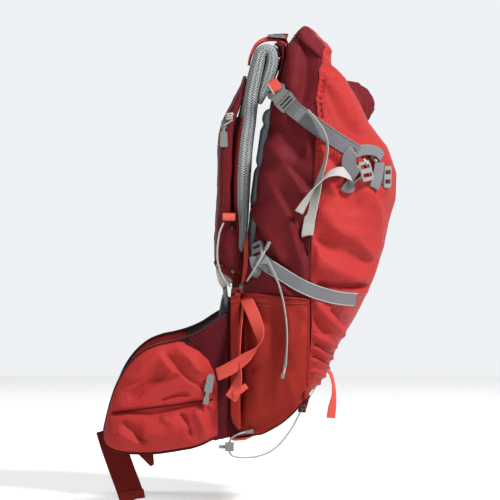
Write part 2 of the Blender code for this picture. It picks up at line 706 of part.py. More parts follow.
def build():
    """Make every part of the pack."""
    make_bag()
    make_lid()
    make_front_pocket()
    make_back()
    make_haul_loop()
    for label, side in SIDES:
        make_side_pocket(label, side)
        make_shoulder_strap(label, side)
        make_load_lifter(label, side)
        make_upper_compression(label, side)
        make_lower_compression(label, side)
        make_adjuster(label, side)
        make_wing(label, side)
    make_strap_pocket()
    make_pocket_zip_pull()
    make_front_group()
    make_foot_strap()
    make_sternum()
    make_belt()
    make_cords()


build()
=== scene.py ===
"""Looks of a ski backpack that hangs by its haul loop: cloth, padding, webbing, cords and hardware.

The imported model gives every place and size. Each piece made here rides on one of its bodies.
-Y is the wearer's left, +X the outer side of the pack and +Z up. Lengths in tables are millimetres.
"""

import logging
import math
from dataclasses import dataclass
from enum import Enum
from typing import Optional, Sequence, Union

import bpy
import numpy as np
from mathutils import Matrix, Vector
from mathutils.bvhtree import BVHTree


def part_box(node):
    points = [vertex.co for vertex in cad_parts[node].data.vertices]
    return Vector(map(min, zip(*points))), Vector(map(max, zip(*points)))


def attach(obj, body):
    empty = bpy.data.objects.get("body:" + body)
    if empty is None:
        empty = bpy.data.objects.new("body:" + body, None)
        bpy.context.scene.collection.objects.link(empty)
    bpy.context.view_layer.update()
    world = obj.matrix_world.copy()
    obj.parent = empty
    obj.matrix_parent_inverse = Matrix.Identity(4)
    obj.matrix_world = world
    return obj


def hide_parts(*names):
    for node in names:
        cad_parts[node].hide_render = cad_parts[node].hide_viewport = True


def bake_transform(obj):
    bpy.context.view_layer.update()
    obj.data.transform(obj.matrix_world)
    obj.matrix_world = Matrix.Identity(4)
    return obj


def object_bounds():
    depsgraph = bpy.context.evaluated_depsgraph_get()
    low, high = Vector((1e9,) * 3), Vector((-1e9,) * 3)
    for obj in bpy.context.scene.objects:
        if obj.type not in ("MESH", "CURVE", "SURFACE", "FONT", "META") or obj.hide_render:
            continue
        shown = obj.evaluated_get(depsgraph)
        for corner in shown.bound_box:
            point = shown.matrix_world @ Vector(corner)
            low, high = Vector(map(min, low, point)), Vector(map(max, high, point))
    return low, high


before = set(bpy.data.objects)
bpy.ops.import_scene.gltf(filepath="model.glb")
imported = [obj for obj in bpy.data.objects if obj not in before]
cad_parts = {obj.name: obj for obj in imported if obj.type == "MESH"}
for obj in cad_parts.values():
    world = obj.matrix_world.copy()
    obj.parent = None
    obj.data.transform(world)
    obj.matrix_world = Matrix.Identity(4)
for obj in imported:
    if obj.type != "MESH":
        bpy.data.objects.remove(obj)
CAD_BOX = [list(corner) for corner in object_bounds()]

Array = np.ndarray
Points = Union[Array, Sequence[Sequence[float]]]
MM = 0.001
LEFT, RIGHT = -1.0, 1.0
SIDES = {"left": LEFT, "right": RIGHT}
LOG = logging.getLogger("ski_backpack")

NOISE_CELLS = 32
FOLD_GAIN, FOLD_SHARPNESS, FOLD_REACH = 2.3, 1.15, 2.6
SLIDER_MARGIN, SLIDER_SLOPE = 0.003, 1.3
CLOTH_SHEEN_SHARE, CLOTH_SHEEN_ROUGHNESS, CLOTH_SPECULAR, CLOTH_IOR = 0.08, 0.4, 0.12, 1.3
PANEL_CLOTH = 0.0012
BEYOND_FLANK = 0.4


# ---------------------------------------------------------------- geometry helpers
def smooth_line(points: Points, step: float) -> Array:
    """Sample the smooth curve through some points.

    Args:
        points: Points of the curve, in two or three dimensions.
        step: Distance between samples, in the points' own unit.

    Returns:
        The samples, one in each row.
    """
    knots = np.asarray(points, float)
    ends = np.vstack([knots[:1], knots, knots[-1:]])
    samples = []
    for i in range(len(knots) - 1):
        p0, p1, p2, p3 = ends[i:i + 4]
        count = max(1, int(round(np.linalg.norm(p2 - p1) / step)))
        t = (np.arange(count) / count)[:, None]
        samples.append(0.5 * (2 * p1 + (p2 - p0) * t + (2 * p0 - 5 * p1 + 4 * p2 - p3) * t ** 2
                              + (3 * p1 - p0 - 3 * p2 + p3) * t ** 3))
    return np.vstack([*samples, knots[-1:]])


def unit(vectors: Array) -> Array:
    """Vectors scaled to a length of one."""
    return vectors / np.maximum(np.linalg.norm(vectors, axis=-1, keepdims=True), 1e-12)


def run_length(points: Array) -> Array:
    """Distance along a line of points, from its first point."""
    steps = np.linalg.norm(np.diff(points, axis=0), axis=-1)
    return np.concatenate([[0.0], np.cumsum(steps)])


def eased(value: Array, low: float, high: float) -> Array:
    """Smooth step from 0 at low to 1 at high."""
    share = np.clip((np.asarray(value, float) - low) / (high - low), 0.0, 1.0)
    return share * share * (3 - 2 * share)


def lattice_noise(points: Array, cell: float, seed: int) -> Array:
    """Smooth noise on a lattice of random values.

    Args:
        points: Points in metres, one in each row.
        cell: Size of a lattice cell in metres.
        seed: Seed of the random values.

    Returns:
        One value from -1 to 1 for each point.
    """
    size = NOISE_CELLS
    values = np.random.default_rng(seed).uniform(-1, 1, (size, size, size))
    scaled = points / cell
    base = np.floor(scaled).astype(int)
    part = scaled - base
    part = part * part * (3 - 2 * part)
    total = np.zeros(len(points))
    for corner in range(8):
        bits = np.array([corner & 1, corner >> 1 & 1, corner >> 2 & 1])
        weight = np.prod(np.where(bits, part, 1 - part), axis=1)
        index = (base + bits) % size
        total += weight * values[index[:, 0], index[:, 1], index[:, 2]]
    return total


def crumple(points: Array, cell: float, seed: int, octaves: int = 3) -> Array:
    """Ridged noise, which looks like creased cloth.

    Args:
        points: Points in metres, one in each row.
        cell: Size of the largest crease in metres.
        seed: Seed of the noise.
        octaves: How many finer layers are added.

    Returns:
        One value about 0 for each point.
    """
    total = np.zeros(len(points))
    for k in range(octaves):
        layer = 1 - 2 * np.abs(lattice_noise(points, cell / 2 ** k, seed + k))
        total += (layer - 0.35) / 2 ** k
    return total


@dataclass(frozen=True)
class Fold:
    """A ridge (depth above 0) or a valley of cloth along a line in the X-Z plane, in millimetres."""

    line: tuple
    width: float
    depth: float

    def relief(self, x: Array, z: Array) -> Array:
        """Height of the fold at points of the X-Z plane.

        Args:
            x: First coordinate in metres.
            z: Second coordinate in metres.

        Returns:
            The height in metres at each point.
        """
        line = smooth_line(np.array(self.line, float) * MM, 0.006)
        reach = self.width * MM * FOLD_REACH
        near = ((x > line[:, 0].min() - reach) & (x < line[:, 0].max() + reach)
                & (z > line[:, 1].min() - reach) & (z < line[:, 1].max() + reach))
        result = np.zeros(len(x))
        spots = np.stack([x[near], z[near]], axis=1)
        if not len(spots):
            return result
        best = np.full(len(spots), 1e9)
        share = np.zeros(len(spots))
        for i, (a, b) in enumerate(zip(line, line[1:])):
            t = np.clip(((spots - a) @ (b - a)) / max((b - a) @ (b - a), 1e-12), 0, 1)
            gap = np.linalg.norm(spots - a - t[:, None] * (b - a), axis=1)
            closer = gap < best
            best[closer] = gap[closer]
            share[closer] = ((i + t) / (len(line) - 1))[closer]
        taper = eased(share, 0.0, 0.25) * (1 - eased(share, 0.75, 1.0))
        result[near] = (self.depth * FOLD_GAIN * MM * np.exp(-(best / (self.width * MM)) ** FOLD_SHARPNESS)
                        * taper)
        return result


def folded(points: Array, folds: Sequence[Fold], limit: float = 0.0085) -> Array:
    """Sum of folds at a grid of points, held within a limit.

    Args:
        points: Grid of points in metres.
        folds: The folds.
        limit: Largest height in metres.

    Returns:
        The height at each point, in metres.
    """
    x, z = points[..., 0].ravel(), points[..., 2].ravel()
    total = sum(fold.relief(x, z) for fold in folds).reshape(points.shape[:2])
    return limit * np.tanh(total / limit)


def below_path(grid: Array, name: str, centre: Array, side: float, gap: float = 0.0009) -> Array:
    """Cloth pressed in along the path of a slider, so that the slider runs clear of it.

    Args:
        grid: Grid of the cloth's points, in metres.
        name: The slider's node.
        centre: Distance of each point from the path's middle line, in metres.
        side: Side of the pack that the cloth faces.
        gap: Clearance under the slider, in metres.

    Returns:
        The grid, pressed in.
    """
    low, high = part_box(name)
    inner = min(abs(low.y), abs(high.y)) - gap
    reach = (high.z - low.z) / 2 + SLIDER_MARGIN
    limit = inner + np.maximum(np.abs(centre) - reach, 0) * SLIDER_SLOPE
    grid[..., 1] = side * np.minimum(side * grid[..., 1], limit)
    return grid


def grid_normals(grid: Array, closed: bool) -> Array:
    """Unit normals of a grid of points; closed grids join their last column to their first.

    Args:
        grid: Points in rows and columns.
        closed: Whether the last column joins the first.

    Returns:
        One normal for each point.
    """
    if closed:
        wide = np.concatenate([grid[:, -1:], grid, grid[:, :1]], axis=1)
        across = np.gradient(wide, axis=1)[:, 1:-1]
    else:
        across = np.gradient(grid, axis=1)
    return unit(np.cross(across, np.gradient(grid, axis=0)))


def grid_object(name: str, grid: Array, closed: bool = False, caps: bool = False) -> bpy.types.Object:
    """Mesh object of a grid of points, with its cloth measured out in metres as UVs.

    Args:
        name: Name of the object.
        grid: Points in rows and columns.
        closed: Whether the last column joins the first.
        caps: Whether the first and last rows are closed with a face.

    Returns:
        The new object, shaded smooth.
    """
    rows, cols = grid.shape[:2]
    spans = cols if closed else cols - 1
    r, c = np.meshgrid(np.arange(rows - 1), np.arange(spans), indexing="ij")
    after = (c + 1) % cols
    quads = np.stack([r * cols + c, r * cols + after, (r + 1) * cols + after, (r + 1) * cols + c], -1)
    faces = quads.reshape(-1, 4).tolist()
    if caps:
        faces += [list(range(cols))[::-1], [(rows - 1) * cols + i for i in range(cols)]]
    mesh = bpy.data.meshes.new(name)
    mesh.from_pydata(grid.reshape(-1, 3).tolist(), [], faces)
    loop = np.concatenate([grid, grid[:, :1]], axis=1) if closed else grid
    u = np.mean([run_length(row) for row in loop[::max(1, rows // 12)]], axis=0)
    v = run_length(loop[:, loop.shape[1] // 2])
    uv = np.stack([u[np.stack([c, c + 1, c + 1, c], -1)], v[np.stack([r, r, r + 1, r + 1], -1)]], -1)
    layer = mesh.uv_layers.new(name="cloth")
    values = np.zeros((len(mesh.loops), 2))
    values[:rows * cols * 4][:uv.reshape(-1, 2).shape[0]] = uv.reshape(-1, 2)
    layer.data.foreach_set("uv", values.ravel())
    mesh.shade_smooth()
    piece = bpy.data.objects.new(name, mesh)
    bpy.context.scene.collection.objects.link(piece)
    return piece


def oval(width: float, thickness: float, count: int = 20, power: float = 5.0) -> Array:
    """Points round a flat section with rounded edges.

    Args:
        width: Full width in metres.
        thickness: Full thickness in metres.
        count: Number of points.
        power: 2 for an ellipse, more for squarer edges.

    Returns:
        Offsets across and along the thickness, one pair in each row.
    """
    turn = np.arange(count) * 2 * math.pi / count
    x = np.sign(np.cos(turn)) * np.abs(np.cos(turn)) ** (2 / power) * width / 2
    y = np.sign(np.sin(turn)) * np.abs(np.sin(turn)) ** (2 / power) * thickness / 2
    return np.stack([x, y], axis=1)


def loft(name: str, path: Array, across: Array, sections: Array,
         normal: Optional[Array] = None) -> bpy.types.Object:
    """Closed solid swept along a path.

    Args:
        name: Name of the object.
        path: Points of the centre line, in metres.
        across: Direction of the section's first axis, one for all or one for each point.
        sections: Offsets of the section, one for all points or one for each.
        normal: Direction of the section's second axis, where it isn't simply square to both.

    Returns:
        The new object.
    """
    tangent = unit(np.gradient(path, axis=0))
    across = np.broadcast_to(across, path.shape)
    across = unit(across - tangent * np.sum(across * tangent, axis=1, keepdims=True))
    second = np.cross(tangent, across) if normal is None else normal
    sections = np.broadcast_to(sections, (len(path), *np.shape(sections)[-2:]))
    grid = (path[:, None] + across[:, None] * sections[:, :, :1] + second[:, None] * sections[:, :, 1:])
    return grid_object(name, grid, closed=True, caps=True)


def add_shell(piece: bpy.types.Object, thickness: float, offset: float = -1.0) -> bpy.types.Object:
    """Give open cloth its thickness in metres, and return it.

    Args:
        piece: The piece.
        thickness: Thickness in metres.
        offset: Which way it grows: -1 inwards, 0 both ways, 1 outwards.

    Returns:
        The same piece.
    """
    shell = piece.modifiers.new("cloth thickness", "SOLIDIFY")
    shell.thickness = thickness
    shell.offset = offset
    return piece


def settle(piece: bpy.types.Object) -> bpy.types.Object:
    """Apply every modifier of a piece, and return it.

    Args:
        piece: The piece.

    Returns:
        The same piece.
    """
    bpy.context.view_layer.update()
    evaluated = piece.evaluated_get(bpy.context.evaluated_depsgraph_get())
    mesh = bpy.data.meshes.new_from_object(evaluated)
    piece.modifiers.clear()
    piece.data = mesh
    return piece


def vertex_array(mesh: bpy.types.Mesh, what: str = "co") -> Array:
    """Positions or normals of a mesh's vertices, one in each row.

    Args:
        mesh: The mesh.
        what: Blender's name of the value: co or normal.

    Returns:
        Three values for each vertex.
    """
    values = np.zeros(len(mesh.vertices) * 3)
    mesh.vertices.foreach_get(what, values)
    return values.reshape(-1, 3)


# ---------------------------------------------------------------- finishes
class Graph:
    """A material under construction, with short ways to add and join its nodes."""

    def __init__(self, name: str) -> None:
        """Start a material with one Principled shader.

        Args:
            name: Name of the material.
        """
        self.material = bpy.data.materials.new(name)
        self.material.use_nodes = True
        self.tree = self.material.node_tree
        self.shader = self.tree.nodes["Principled BSDF"]

    def node(self, kind: str, **inputs: object) -> bpy.types.Node:
        """Add a node.

        Args:
            kind: Blender's name of the node without ShaderNode.
            **inputs: Values or sockets for its inputs, with _ for a space in the input's name.

        Returns:
            The new node.
        """
        made = self.tree.nodes.new("ShaderNode" + kind)
        for key, value in inputs.items():
            self.feed(made.inputs[key.replace("_", " ")], value)
        return made

    def feed(self, socket: bpy.types.NodeSocket, value: object) -> None:
        """Give a socket a value, or link it to another socket.

        Args:
            socket: Socket of a node.
            value: The value, or the socket that gives it.
        """
        if isinstance(value, bpy.types.NodeSocket):
            self.tree.links.new(value, socket)
        else:
            socket.default_value = value

    def calc(self, operation: str, *terms: object) -> bpy.types.NodeSocket:
        """Add a Math node.

        Args:
            operation: Blender's name of the operation.
            *terms: Its values or sockets.

        Returns:
            The node's result.
        """
        made = self.tree.nodes.new("ShaderNodeMath")
        made.operation = operation
        for socket, term in zip(made.inputs, terms):
            self.feed(socket, term)
        return made.outputs[0]

    def blend(self, share: object, low: object, high: object) -> bpy.types.NodeSocket:
        """Mix two colours.

        Args:
            share: How much of the second, from 0 to 1.
            low: First colour or socket.
            high: Second colour or socket.

        Returns:
            The mixed colour.
        """
        made = self.tree.nodes.new("ShaderNodeMix")
        made.data_type = "RGBA"
        self.feed(made.inputs[0], share)
        self.feed(made.inputs[6], low)
        self.feed(made.inputs[7], high)
        return made.outputs[2]

    def noise(self, scale: float, detail: float = 3.0, where: str = "Object") -> bpy.types.NodeSocket:
        """Add noise.

        Args:
            scale: Cells for each metre.
            detail: Number of finer layers.
            where: Texture coordinate that it follows.

        Returns:
            Its value, about 0.5.
        """
        spot = self.tree.nodes.new("ShaderNodeTexCoord").outputs[where]
        return self.node("TexNoise", Vector=spot, Scale=scale, Detail=detail).outputs[0]

    def bump(self, height: object, distance: float, under: Optional[bpy.types.NodeSocket] = None,
             strength: float = 1.0) -> bpy.types.NodeSocket:
        """Add a bump.

        Args:
            height: Socket with the height, from 0 to 1.
            distance: Height of 1 in metres.
            under: Normal from a coarser bump.
            strength: Share of the bump that shows.

        Returns:
            The bent normal.
        """
        made = self.node("Bump", Height=height, Distance=distance, Strength=strength)
        if under is not None:
            self.feed(made.inputs["Normal"], under)
        return made.outputs[0]

    def cloth_axes(self) -> tuple[bpy.types.NodeSocket, bpy.types.NodeSocket]:
        """Distances across and along the cloth, in metres.

        Returns:
            Sockets for the distance across and along.
        """
        spot = self.tree.nodes.new("ShaderNodeTexCoord").outputs["UV"]
        parts = self.node("SeparateXYZ", Vector=spot)
        return parts.outputs[0], parts.outputs[1]


class Weave(Enum):
    """How a cloth's surface is made."""

    RIPSTOP = "grid of thicker threads"
    PLAIN = "fine plain weave"
    WEBBING = "ribs across a narrow strap"
    CHEVRON = "open herringbone mesh"
    MESH = "open round mesh"
    RIBBED = "slanting quilted ribs"
    BRAID = "braided cord"


def weave_height(graph: Graph, weave: Weave, pitch: float) -> bpy.types.NodeSocket:
    """Height of a weave, from 0 in its gaps to 1 on its threads.

    Args:
        graph: Material being made.
        weave: Kind of weave.
        pitch: Distance from one thread or rib to the next, in metres.

    Returns:
        The height.
    """
    u, v = graph.cloth_axes()

    def wave(value: bpy.types.NodeSocket, size: float) -> bpy.types.NodeSocket:
        """Even wave from 0 to 1 along a distance."""
        angle = graph.calc("MULTIPLY", value, 2 * math.pi / size)
        return graph.calc("MULTIPLY_ADD", graph.calc("SINE", angle), 0.5, 0.5)

    if weave is Weave.RIPSTOP:
        lines = graph.calc("MAXIMUM", wave(u, pitch), wave(v, pitch))
        return graph.calc("SMOOTH_MAX", graph.calc("POWER", lines, 6.0), 0.0, 0.1)
    if weave is Weave.PLAIN:
        return graph.calc("MULTIPLY", wave(u, pitch), wave(v, pitch))
    if weave is Weave.WEBBING:
        ribs = wave(v, pitch)
        grain = wave(graph.calc("ADD", u, graph.calc("MULTIPLY", v, 0.5)), pitch * 1.7)
        return graph.calc("MULTIPLY_ADD", grain, 0.35, graph.calc("MULTIPLY", ribs, 0.65))
    if weave is Weave.CHEVRON:
        zig = graph.calc("PINGPONG", u, pitch * 0.9)
        lines = wave(graph.calc("ADD", v, graph.calc("MULTIPLY", zig, 1.1)), pitch)
        columns = wave(u, pitch * 1.8)
        return graph.calc("MULTIPLY_ADD", columns, 0.25, graph.calc("MULTIPLY", lines, 0.75))
    if weave is Weave.MESH:
        holes = graph.calc("MULTIPLY", wave(graph.calc("ADD", u, v), pitch),
                           wave(graph.calc("SUBTRACT", u, v), pitch))
        return graph.calc("SUBTRACT", 1.0, graph.calc("POWER", holes, 1.5))
    if weave is Weave.RIBBED:
        return wave(graph.calc("ADD", v, graph.calc("MULTIPLY", u, 0.8)), pitch)
    twist = graph.calc("ADD", v, graph.calc("MULTIPLY", u, 1.2))
    back = graph.calc("SUBTRACT", v, graph.calc("MULTIPLY", u, 1.2))
    return graph.calc("MAXIMUM", wave(twist, pitch), wave(back, pitch))


@dataclass(frozen=True)
class Cloth:
    """A woven finish: its colour, weave, sheen and how far its colour and surface vary."""

    name: str
    slot: str
    colour: tuple
    weave: Weave
    pitch: float
    relief: float = 0.0003
    gap: float = 0.75
    roughness: float = 0.6
    sheen: float = 0.3
    grime: float = 0.12
    wrinkle: float = 0.0006

    def material(self) -> bpy.types.Material:
        """The finish's material, made once.

        Returns:
            The material.
        """
        known = bpy.data.materials.get(self.name)
        if known is not None:
            return known
        graph = Graph(self.name)
        height = weave_height(graph, self.weave, self.pitch)
        full = (*self.colour, 1.0)
        dark = (*(channel * self.gap for channel in self.colour), 1.0)
        pale = (*(min(1.0, channel * 1.12 + 0.004) for channel in self.colour), 1.0)
        threads = graph.blend(height, dark, full)
        broad = graph.noise(7.0, 4.0)
        share = graph.calc("MULTIPLY", graph.calc("SUBTRACT", broad, 0.38), self.grime * 4)
        coloured = graph.blend(graph.calc("MAXIMUM", share, 0.0), threads, pale)
        graph.feed(graph.shader.inputs["Base Color"], coloured)
        rough = graph.calc("MULTIPLY_ADD", graph.noise(60.0), 0.16, self.roughness - 0.08)
        graph.feed(graph.shader.inputs["Roughness"], rough)
        creases = graph.bump(graph.noise(38.0, 4.0), self.wrinkle)
        graph.feed(graph.shader.inputs["Normal"], graph.bump(height, self.relief, creases))
        graph.shader.inputs["Sheen Weight"].default_value = self.sheen * CLOTH_SHEEN_SHARE
        graph.shader.inputs["Sheen Roughness"].default_value = CLOTH_SHEEN_ROUGHNESS
        graph.shader.inputs["Sheen Tint"].default_value = full
        graph.shader.inputs["Specular IOR Level"].default_value = CLOTH_SPECULAR
        graph.shader.inputs["IOR"].default_value = CLOTH_IOR
        return graph.material


@dataclass(frozen=True)
class Moulding:
    """A hard finish: moulded plastic, pressed board or drawn metal."""

    name: str
    slot: str
    colour: tuple
    roughness: float = 0.42
    metallic: float = 0.0
    grain: float = 900.0
    scuff: float = 0.25

    def material(self) -> bpy.types.Material:
        """The finish's material, made once.

        Returns:
            The material.
        """
        known = bpy.data.materials.get(self.name)
        if known is not None:
            return known
        graph = Graph(self.name)
        full = (*self.colour, 1.0)
        worn = (*(min(1.0, channel * 1.25 + 0.03) for channel in self.colour), 1.0)
        patches = graph.calc("MULTIPLY", graph.noise(45.0, 5.0), self.scuff)
        graph.feed(graph.shader.inputs["Base Color"], graph.blend(patches, full, worn))
        rough = graph.calc("MULTIPLY_ADD", graph.noise(160.0), 0.2, self.roughness - 0.1)
        graph.feed(graph.shader.inputs["Roughness"], rough)
        graph.feed(graph.shader.inputs["Normal"], graph.bump(graph.noise(self.grain, 2.0), 0.00008))
        graph.shader.inputs["Metallic"].default_value = self.metallic
        return graph.material


Finish = Union[Cloth, Moulding]

BURGUNDY = Cloth("burgundy ripstop", "burgundy_cloth", (0.080, 0.0062, 0.0085), Weave.RIPSTOP, 0.0032,
                 gap=0.9, roughness=0.5, sheen=0.25)
BRIGHT_RED = Cloth("bright red ripstop", "red_ripstop", (0.275, 0.0205, 0.0190), Weave.RIPSTOP, 0.0032,
                   gap=0.78, roughness=0.5, sheen=0.35)
BRICK = Cloth("brick stretch cloth", "brick_cloth", (0.178, 0.0130, 0.0090), Weave.PLAIN, 0.0011,
              relief=0.0001, gap=0.9, roughness=0.62, sheen=0.3, wrinkle=0.0003)
RIBBED = Cloth("ribbed burgundy", "burgundy_cloth", (0.055, 0.0036, 0.0066), Weave.RIBBED, 0.0040,
               relief=0.0006, gap=0.6, roughness=0.7)
SPACER = Cloth("herringbone spacer mesh", "spacer_mesh", (0.29, 0.30, 0.305), Weave.CHEVRON, 0.0037,
               relief=0.0012, gap=0.03, roughness=0.75, sheen=0.2, wrinkle=0.0002)
BACK_MESH = Cloth("back panel mesh", "spacer_mesh", (0.13, 0.14, 0.15), Weave.MESH, 0.0040,
                  relief=0.0006, gap=0.25, roughness=0.85, sheen=0.2)
NAVY = Cloth("navy mesh", "navy_padding", (0.022, 0.026, 0.042), Weave.MESH, 0.0034,
             relief=0.0005, gap=0.4, roughness=0.85, sheen=0.25)
GREY_WEB = Cloth("grey webbing", "grey_webbing", (0.112, 0.112, 0.120), Weave.WEBBING, 0.0016,
                 relief=0.0003, gap=0.78, roughness=0.6, sheen=0.35, wrinkle=0.0002)
PALE_WEB = Cloth("pale webbing", "grey_webbing", (0.27, 0.265, 0.25), Weave.WEBBING, 0.0016,
                 relief=0.0003, gap=0.8, roughness=0.62, sheen=0.35, wrinkle=0.0002)
RED_WEB = Cloth("salmon webbing", "red_webbing", (0.420, 0.052, 0.040), Weave.WEBBING, 0.0015,
                relief=0.0003, gap=0.8, roughness=0.6, sheen=0.4, wrinkle=0.0002)
DARK_WEB = Cloth("dark red webbing", "dark_webbing", (0.082, 0.0045, 0.0035), Weave.WEBBING, 0.0019,
                 relief=0.0004, gap=0.7, roughness=0.68, sheen=0.3, wrinkle=0.0003)
BINDING = Cloth("dark binding", "dark_webbing", (0.040, 0.008, 0.010), Weave.WEBBING, 0.0012,
                relief=0.0002, gap=0.8, roughness=0.75)
PIPING = Cloth("pale piping", "grey_cord", (0.36, 0.34, 0.33), Weave.BRAID, 0.0016,
               relief=0.0002, gap=0.7, roughness=0.7)
CORD = Cloth("braided cord", "grey_cord", (0.30, 0.295, 0.285), Weave.BRAID, 0.0018,
             relief=0.0003, gap=0.55, roughness=0.7)
THREAD = Cloth("sewing thread", "dark_webbing", (0.045, 0.008, 0.010), Weave.BRAID, 0.0006,
               relief=0.0001, roughness=0.6)
PALE_THREAD = Cloth("pale sewing thread", "red_webbing", (0.30, 0.075, 0.06), Weave.BRAID, 0.0006,
                    relief=0.0001, roughness=0.6)
GREY_PLASTIC = Moulding("moulded grey plastic", "grey_plastic", (0.092, 0.095, 0.091))
PALE_PLASTIC = Moulding("moulded pale plastic", "grey_plastic", (0.120, 0.124, 0.118))
RED_PLASTIC = Moulding("orange-red plastic", "bead_plastic", (0.34, 0.040, 0.020))
DARK_PLASTIC = Moulding("dark plastic", "frame_board", (0.018, 0.018, 0.02), roughness=0.5)
ALLOY = Moulding("drawn alloy", "stay_alloy", (0.50, 0.51, 0.53), roughness=0.35, metallic=1.0)


def dress(piece: bpy.types.Object, finish: Finish, body: str, *nodes: str) -> bpy.types.Object:
    """Give a piece its finish and its body, in place of any CAD nodes that it stands for.

    Args:
        piece: The new piece.
        finish: Its finish.
        body: The body that it rides on.
        *nodes: CAD nodes that it replaces.

    Returns:
        The same piece.
    """
    piece.data.materials.clear()
    piece.data.materials.append(finish.material())
    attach(piece, body)
    if nodes:
        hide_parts(*nodes)
    LOG.info("%s rides on %s in %s", piece.name, body, finish.name)
    return piece


def hang_between(piece: bpy.types.Object, finish: Finish, bodies: tuple[str, str]) -> bpy.types.Object:
    """Give a piece its finish and bake its place into its mesh, with no body to ride on.

    Args:
        piece: The new piece, with no parent.
        finish: Its finish.
        bodies: The two bodies that a joint joins.

    Returns:
        The same piece.
    """
    piece.data.materials.clear()
    piece.data.materials.append(finish.material())
    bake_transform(piece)
    LOG.info("%s bends between %s and %s", piece.name, *bodies)
    return piece


def strap(name: str, route: Points, across: Points, width: float, finish: Finish, body: str = "pack",
          nodes: Sequence[str] = (), thickness: float = 1.7, step: float = 3.0) -> bpy.types.Object:
    """A length of webbing, laid along a route.

    Args:
        name: Name of the piece.
        route: Points of the centre line, in millimetres.
        across: Direction of the width, one for all points of the route or one for each.
        width: Width in millimetres.
        finish: Its finish.
        body: The body that it rides on.
        nodes: CAD nodes that it replaces.
        thickness: Thickness in millimetres.
        step: Distance between sections in millimetres.

    Returns:
        The piece.
    """
    path = smooth_line(np.asarray(route, float) * MM, step * MM)
    ways = np.atleast_2d(np.asarray(across, float))
    if len(ways) > 1:
        at = run_length(np.asarray(route, float))
        spots = run_length(path) / run_length(path)[-1] * at[-1]
        ways = np.stack([np.interp(spots, at, ways[:, k]) for k in range(3)], axis=1)
    made = loft(name, path, ways, oval(width * MM, thickness * MM))
    return dress(made, finish, body, *nodes)


def hung_strap(name: str, route: Points, across: Points, width: float, finish: Finish,
               body: str = "pack", nodes: Sequence[str] = (), thickness: float = 1.8,
               step: float = 3.0) -> bpy.types.Object:
    """A free end of webbing.

    Args:
        name: Name of the piece.
        route: Points of the centre line, in millimetres.
        across: Direction of the width, one for all points or one for each.
        width: Width in millimetres.
        finish: Its finish.
        body: The body that it rides on.
        nodes: CAD nodes that it replaces.
        thickness: Thickness in millimetres.
        step: Distance between sections in millimetres.

    Returns:
        The piece.
    """
    piece = strap(name, route, across, width, finish, body, nodes, thickness, step)
    return piece


def round_cord(name: str, path: Array, radius: float, finish: Finish, body: str,
               nodes: Sequence[str] = (), sides: int = 10) -> bpy.types.Object:
    """A cord, a piping or a thread of round section.

    Args:
        name: Name of the piece.
        path: Points of the centre line, in metres.
        radius: Radius in metres.
        finish: Its finish.
        body: The body that it rides on.
        nodes: CAD nodes that it replaces.
        sides: Number of sides of the section.

    Returns:
        The piece.
    """
    ring = oval(radius * 2, radius * 2, sides, 2.0)
    tangent = unit(np.gradient(path, axis=0))
    mean = unit(tangent.mean(axis=0))
    way = np.eye(3)[int(np.argmin(np.abs(mean)))]
    return dress(loft(name, path, way, ring), finish, body, *nodes)


def stitches(name: str, path: Array, finish: Finish, body: str, normal: Array, pitch: float = 0.0042,
             length: float = 0.0028, radius: float = 0.00035) -> bpy.types.Object:
    """A row of sewn stitches.

    Args:
        name: Name of the piece.
        path: Points of the seam, in metres.
        finish: The thread's finish.
        body: The body that it rides on.
        normal: Direction out of the cloth, one for all or one for each point.
        pitch: Distance from one stitch to the next.
        length: Length of a stitch.
        radius: Radius of the thread.

    Returns:
        The piece.
    """
    at = run_length(path)
    normal = np.broadcast_to(normal, path.shape)
    verts, faces = [], []
    ring = oval(radius * 2, radius * 2, 5, 2.0)
    for k in range(int(at[-1] / pitch)):
        spots = k * pitch + length * np.array([0.0, 0.25, 0.75, 1.0])
        line = np.stack([np.interp(spots, at, path[:, i]) for i in range(3)], axis=1)
        out = unit(np.array([np.interp(spots[0], at, normal[:, i]) for i in range(3)]))
        line = line + out * radius * np.array([[-0.6], [0.8], [0.8], [-0.6]])
        way = unit(line[-1] - line[0])
        side = unit(np.cross(way, out))
        base = len(verts)
        for point, swell in zip(line, (0.35, 1.0, 1.0, 0.35)):
            verts += [point + side * a * swell + out * b * swell for a, b in ring]
        for row in range(3):
            for i in range(5):
                j = (i + 1) % 5
                faces.append([base + row * 5 + i, base + row * 5 + j, base + row * 5 + 5 + j,
                              base + row * 5 + 5 + i])
        faces += [[base + i for i in range(5)][::-1], [base + 15 + i for i in range(5)]]
    mesh = bpy.data.meshes.new(name)
    mesh.from_pydata([tuple(point) for point in verts], [], faces)
    mesh.uv_layers.new(name="cloth")
    mesh.shade_smooth()
    piece = bpy.data.objects.new(name, mesh)
    bpy.context.scene.collection.objects.link(piece)
    return dress(piece, finish, body)


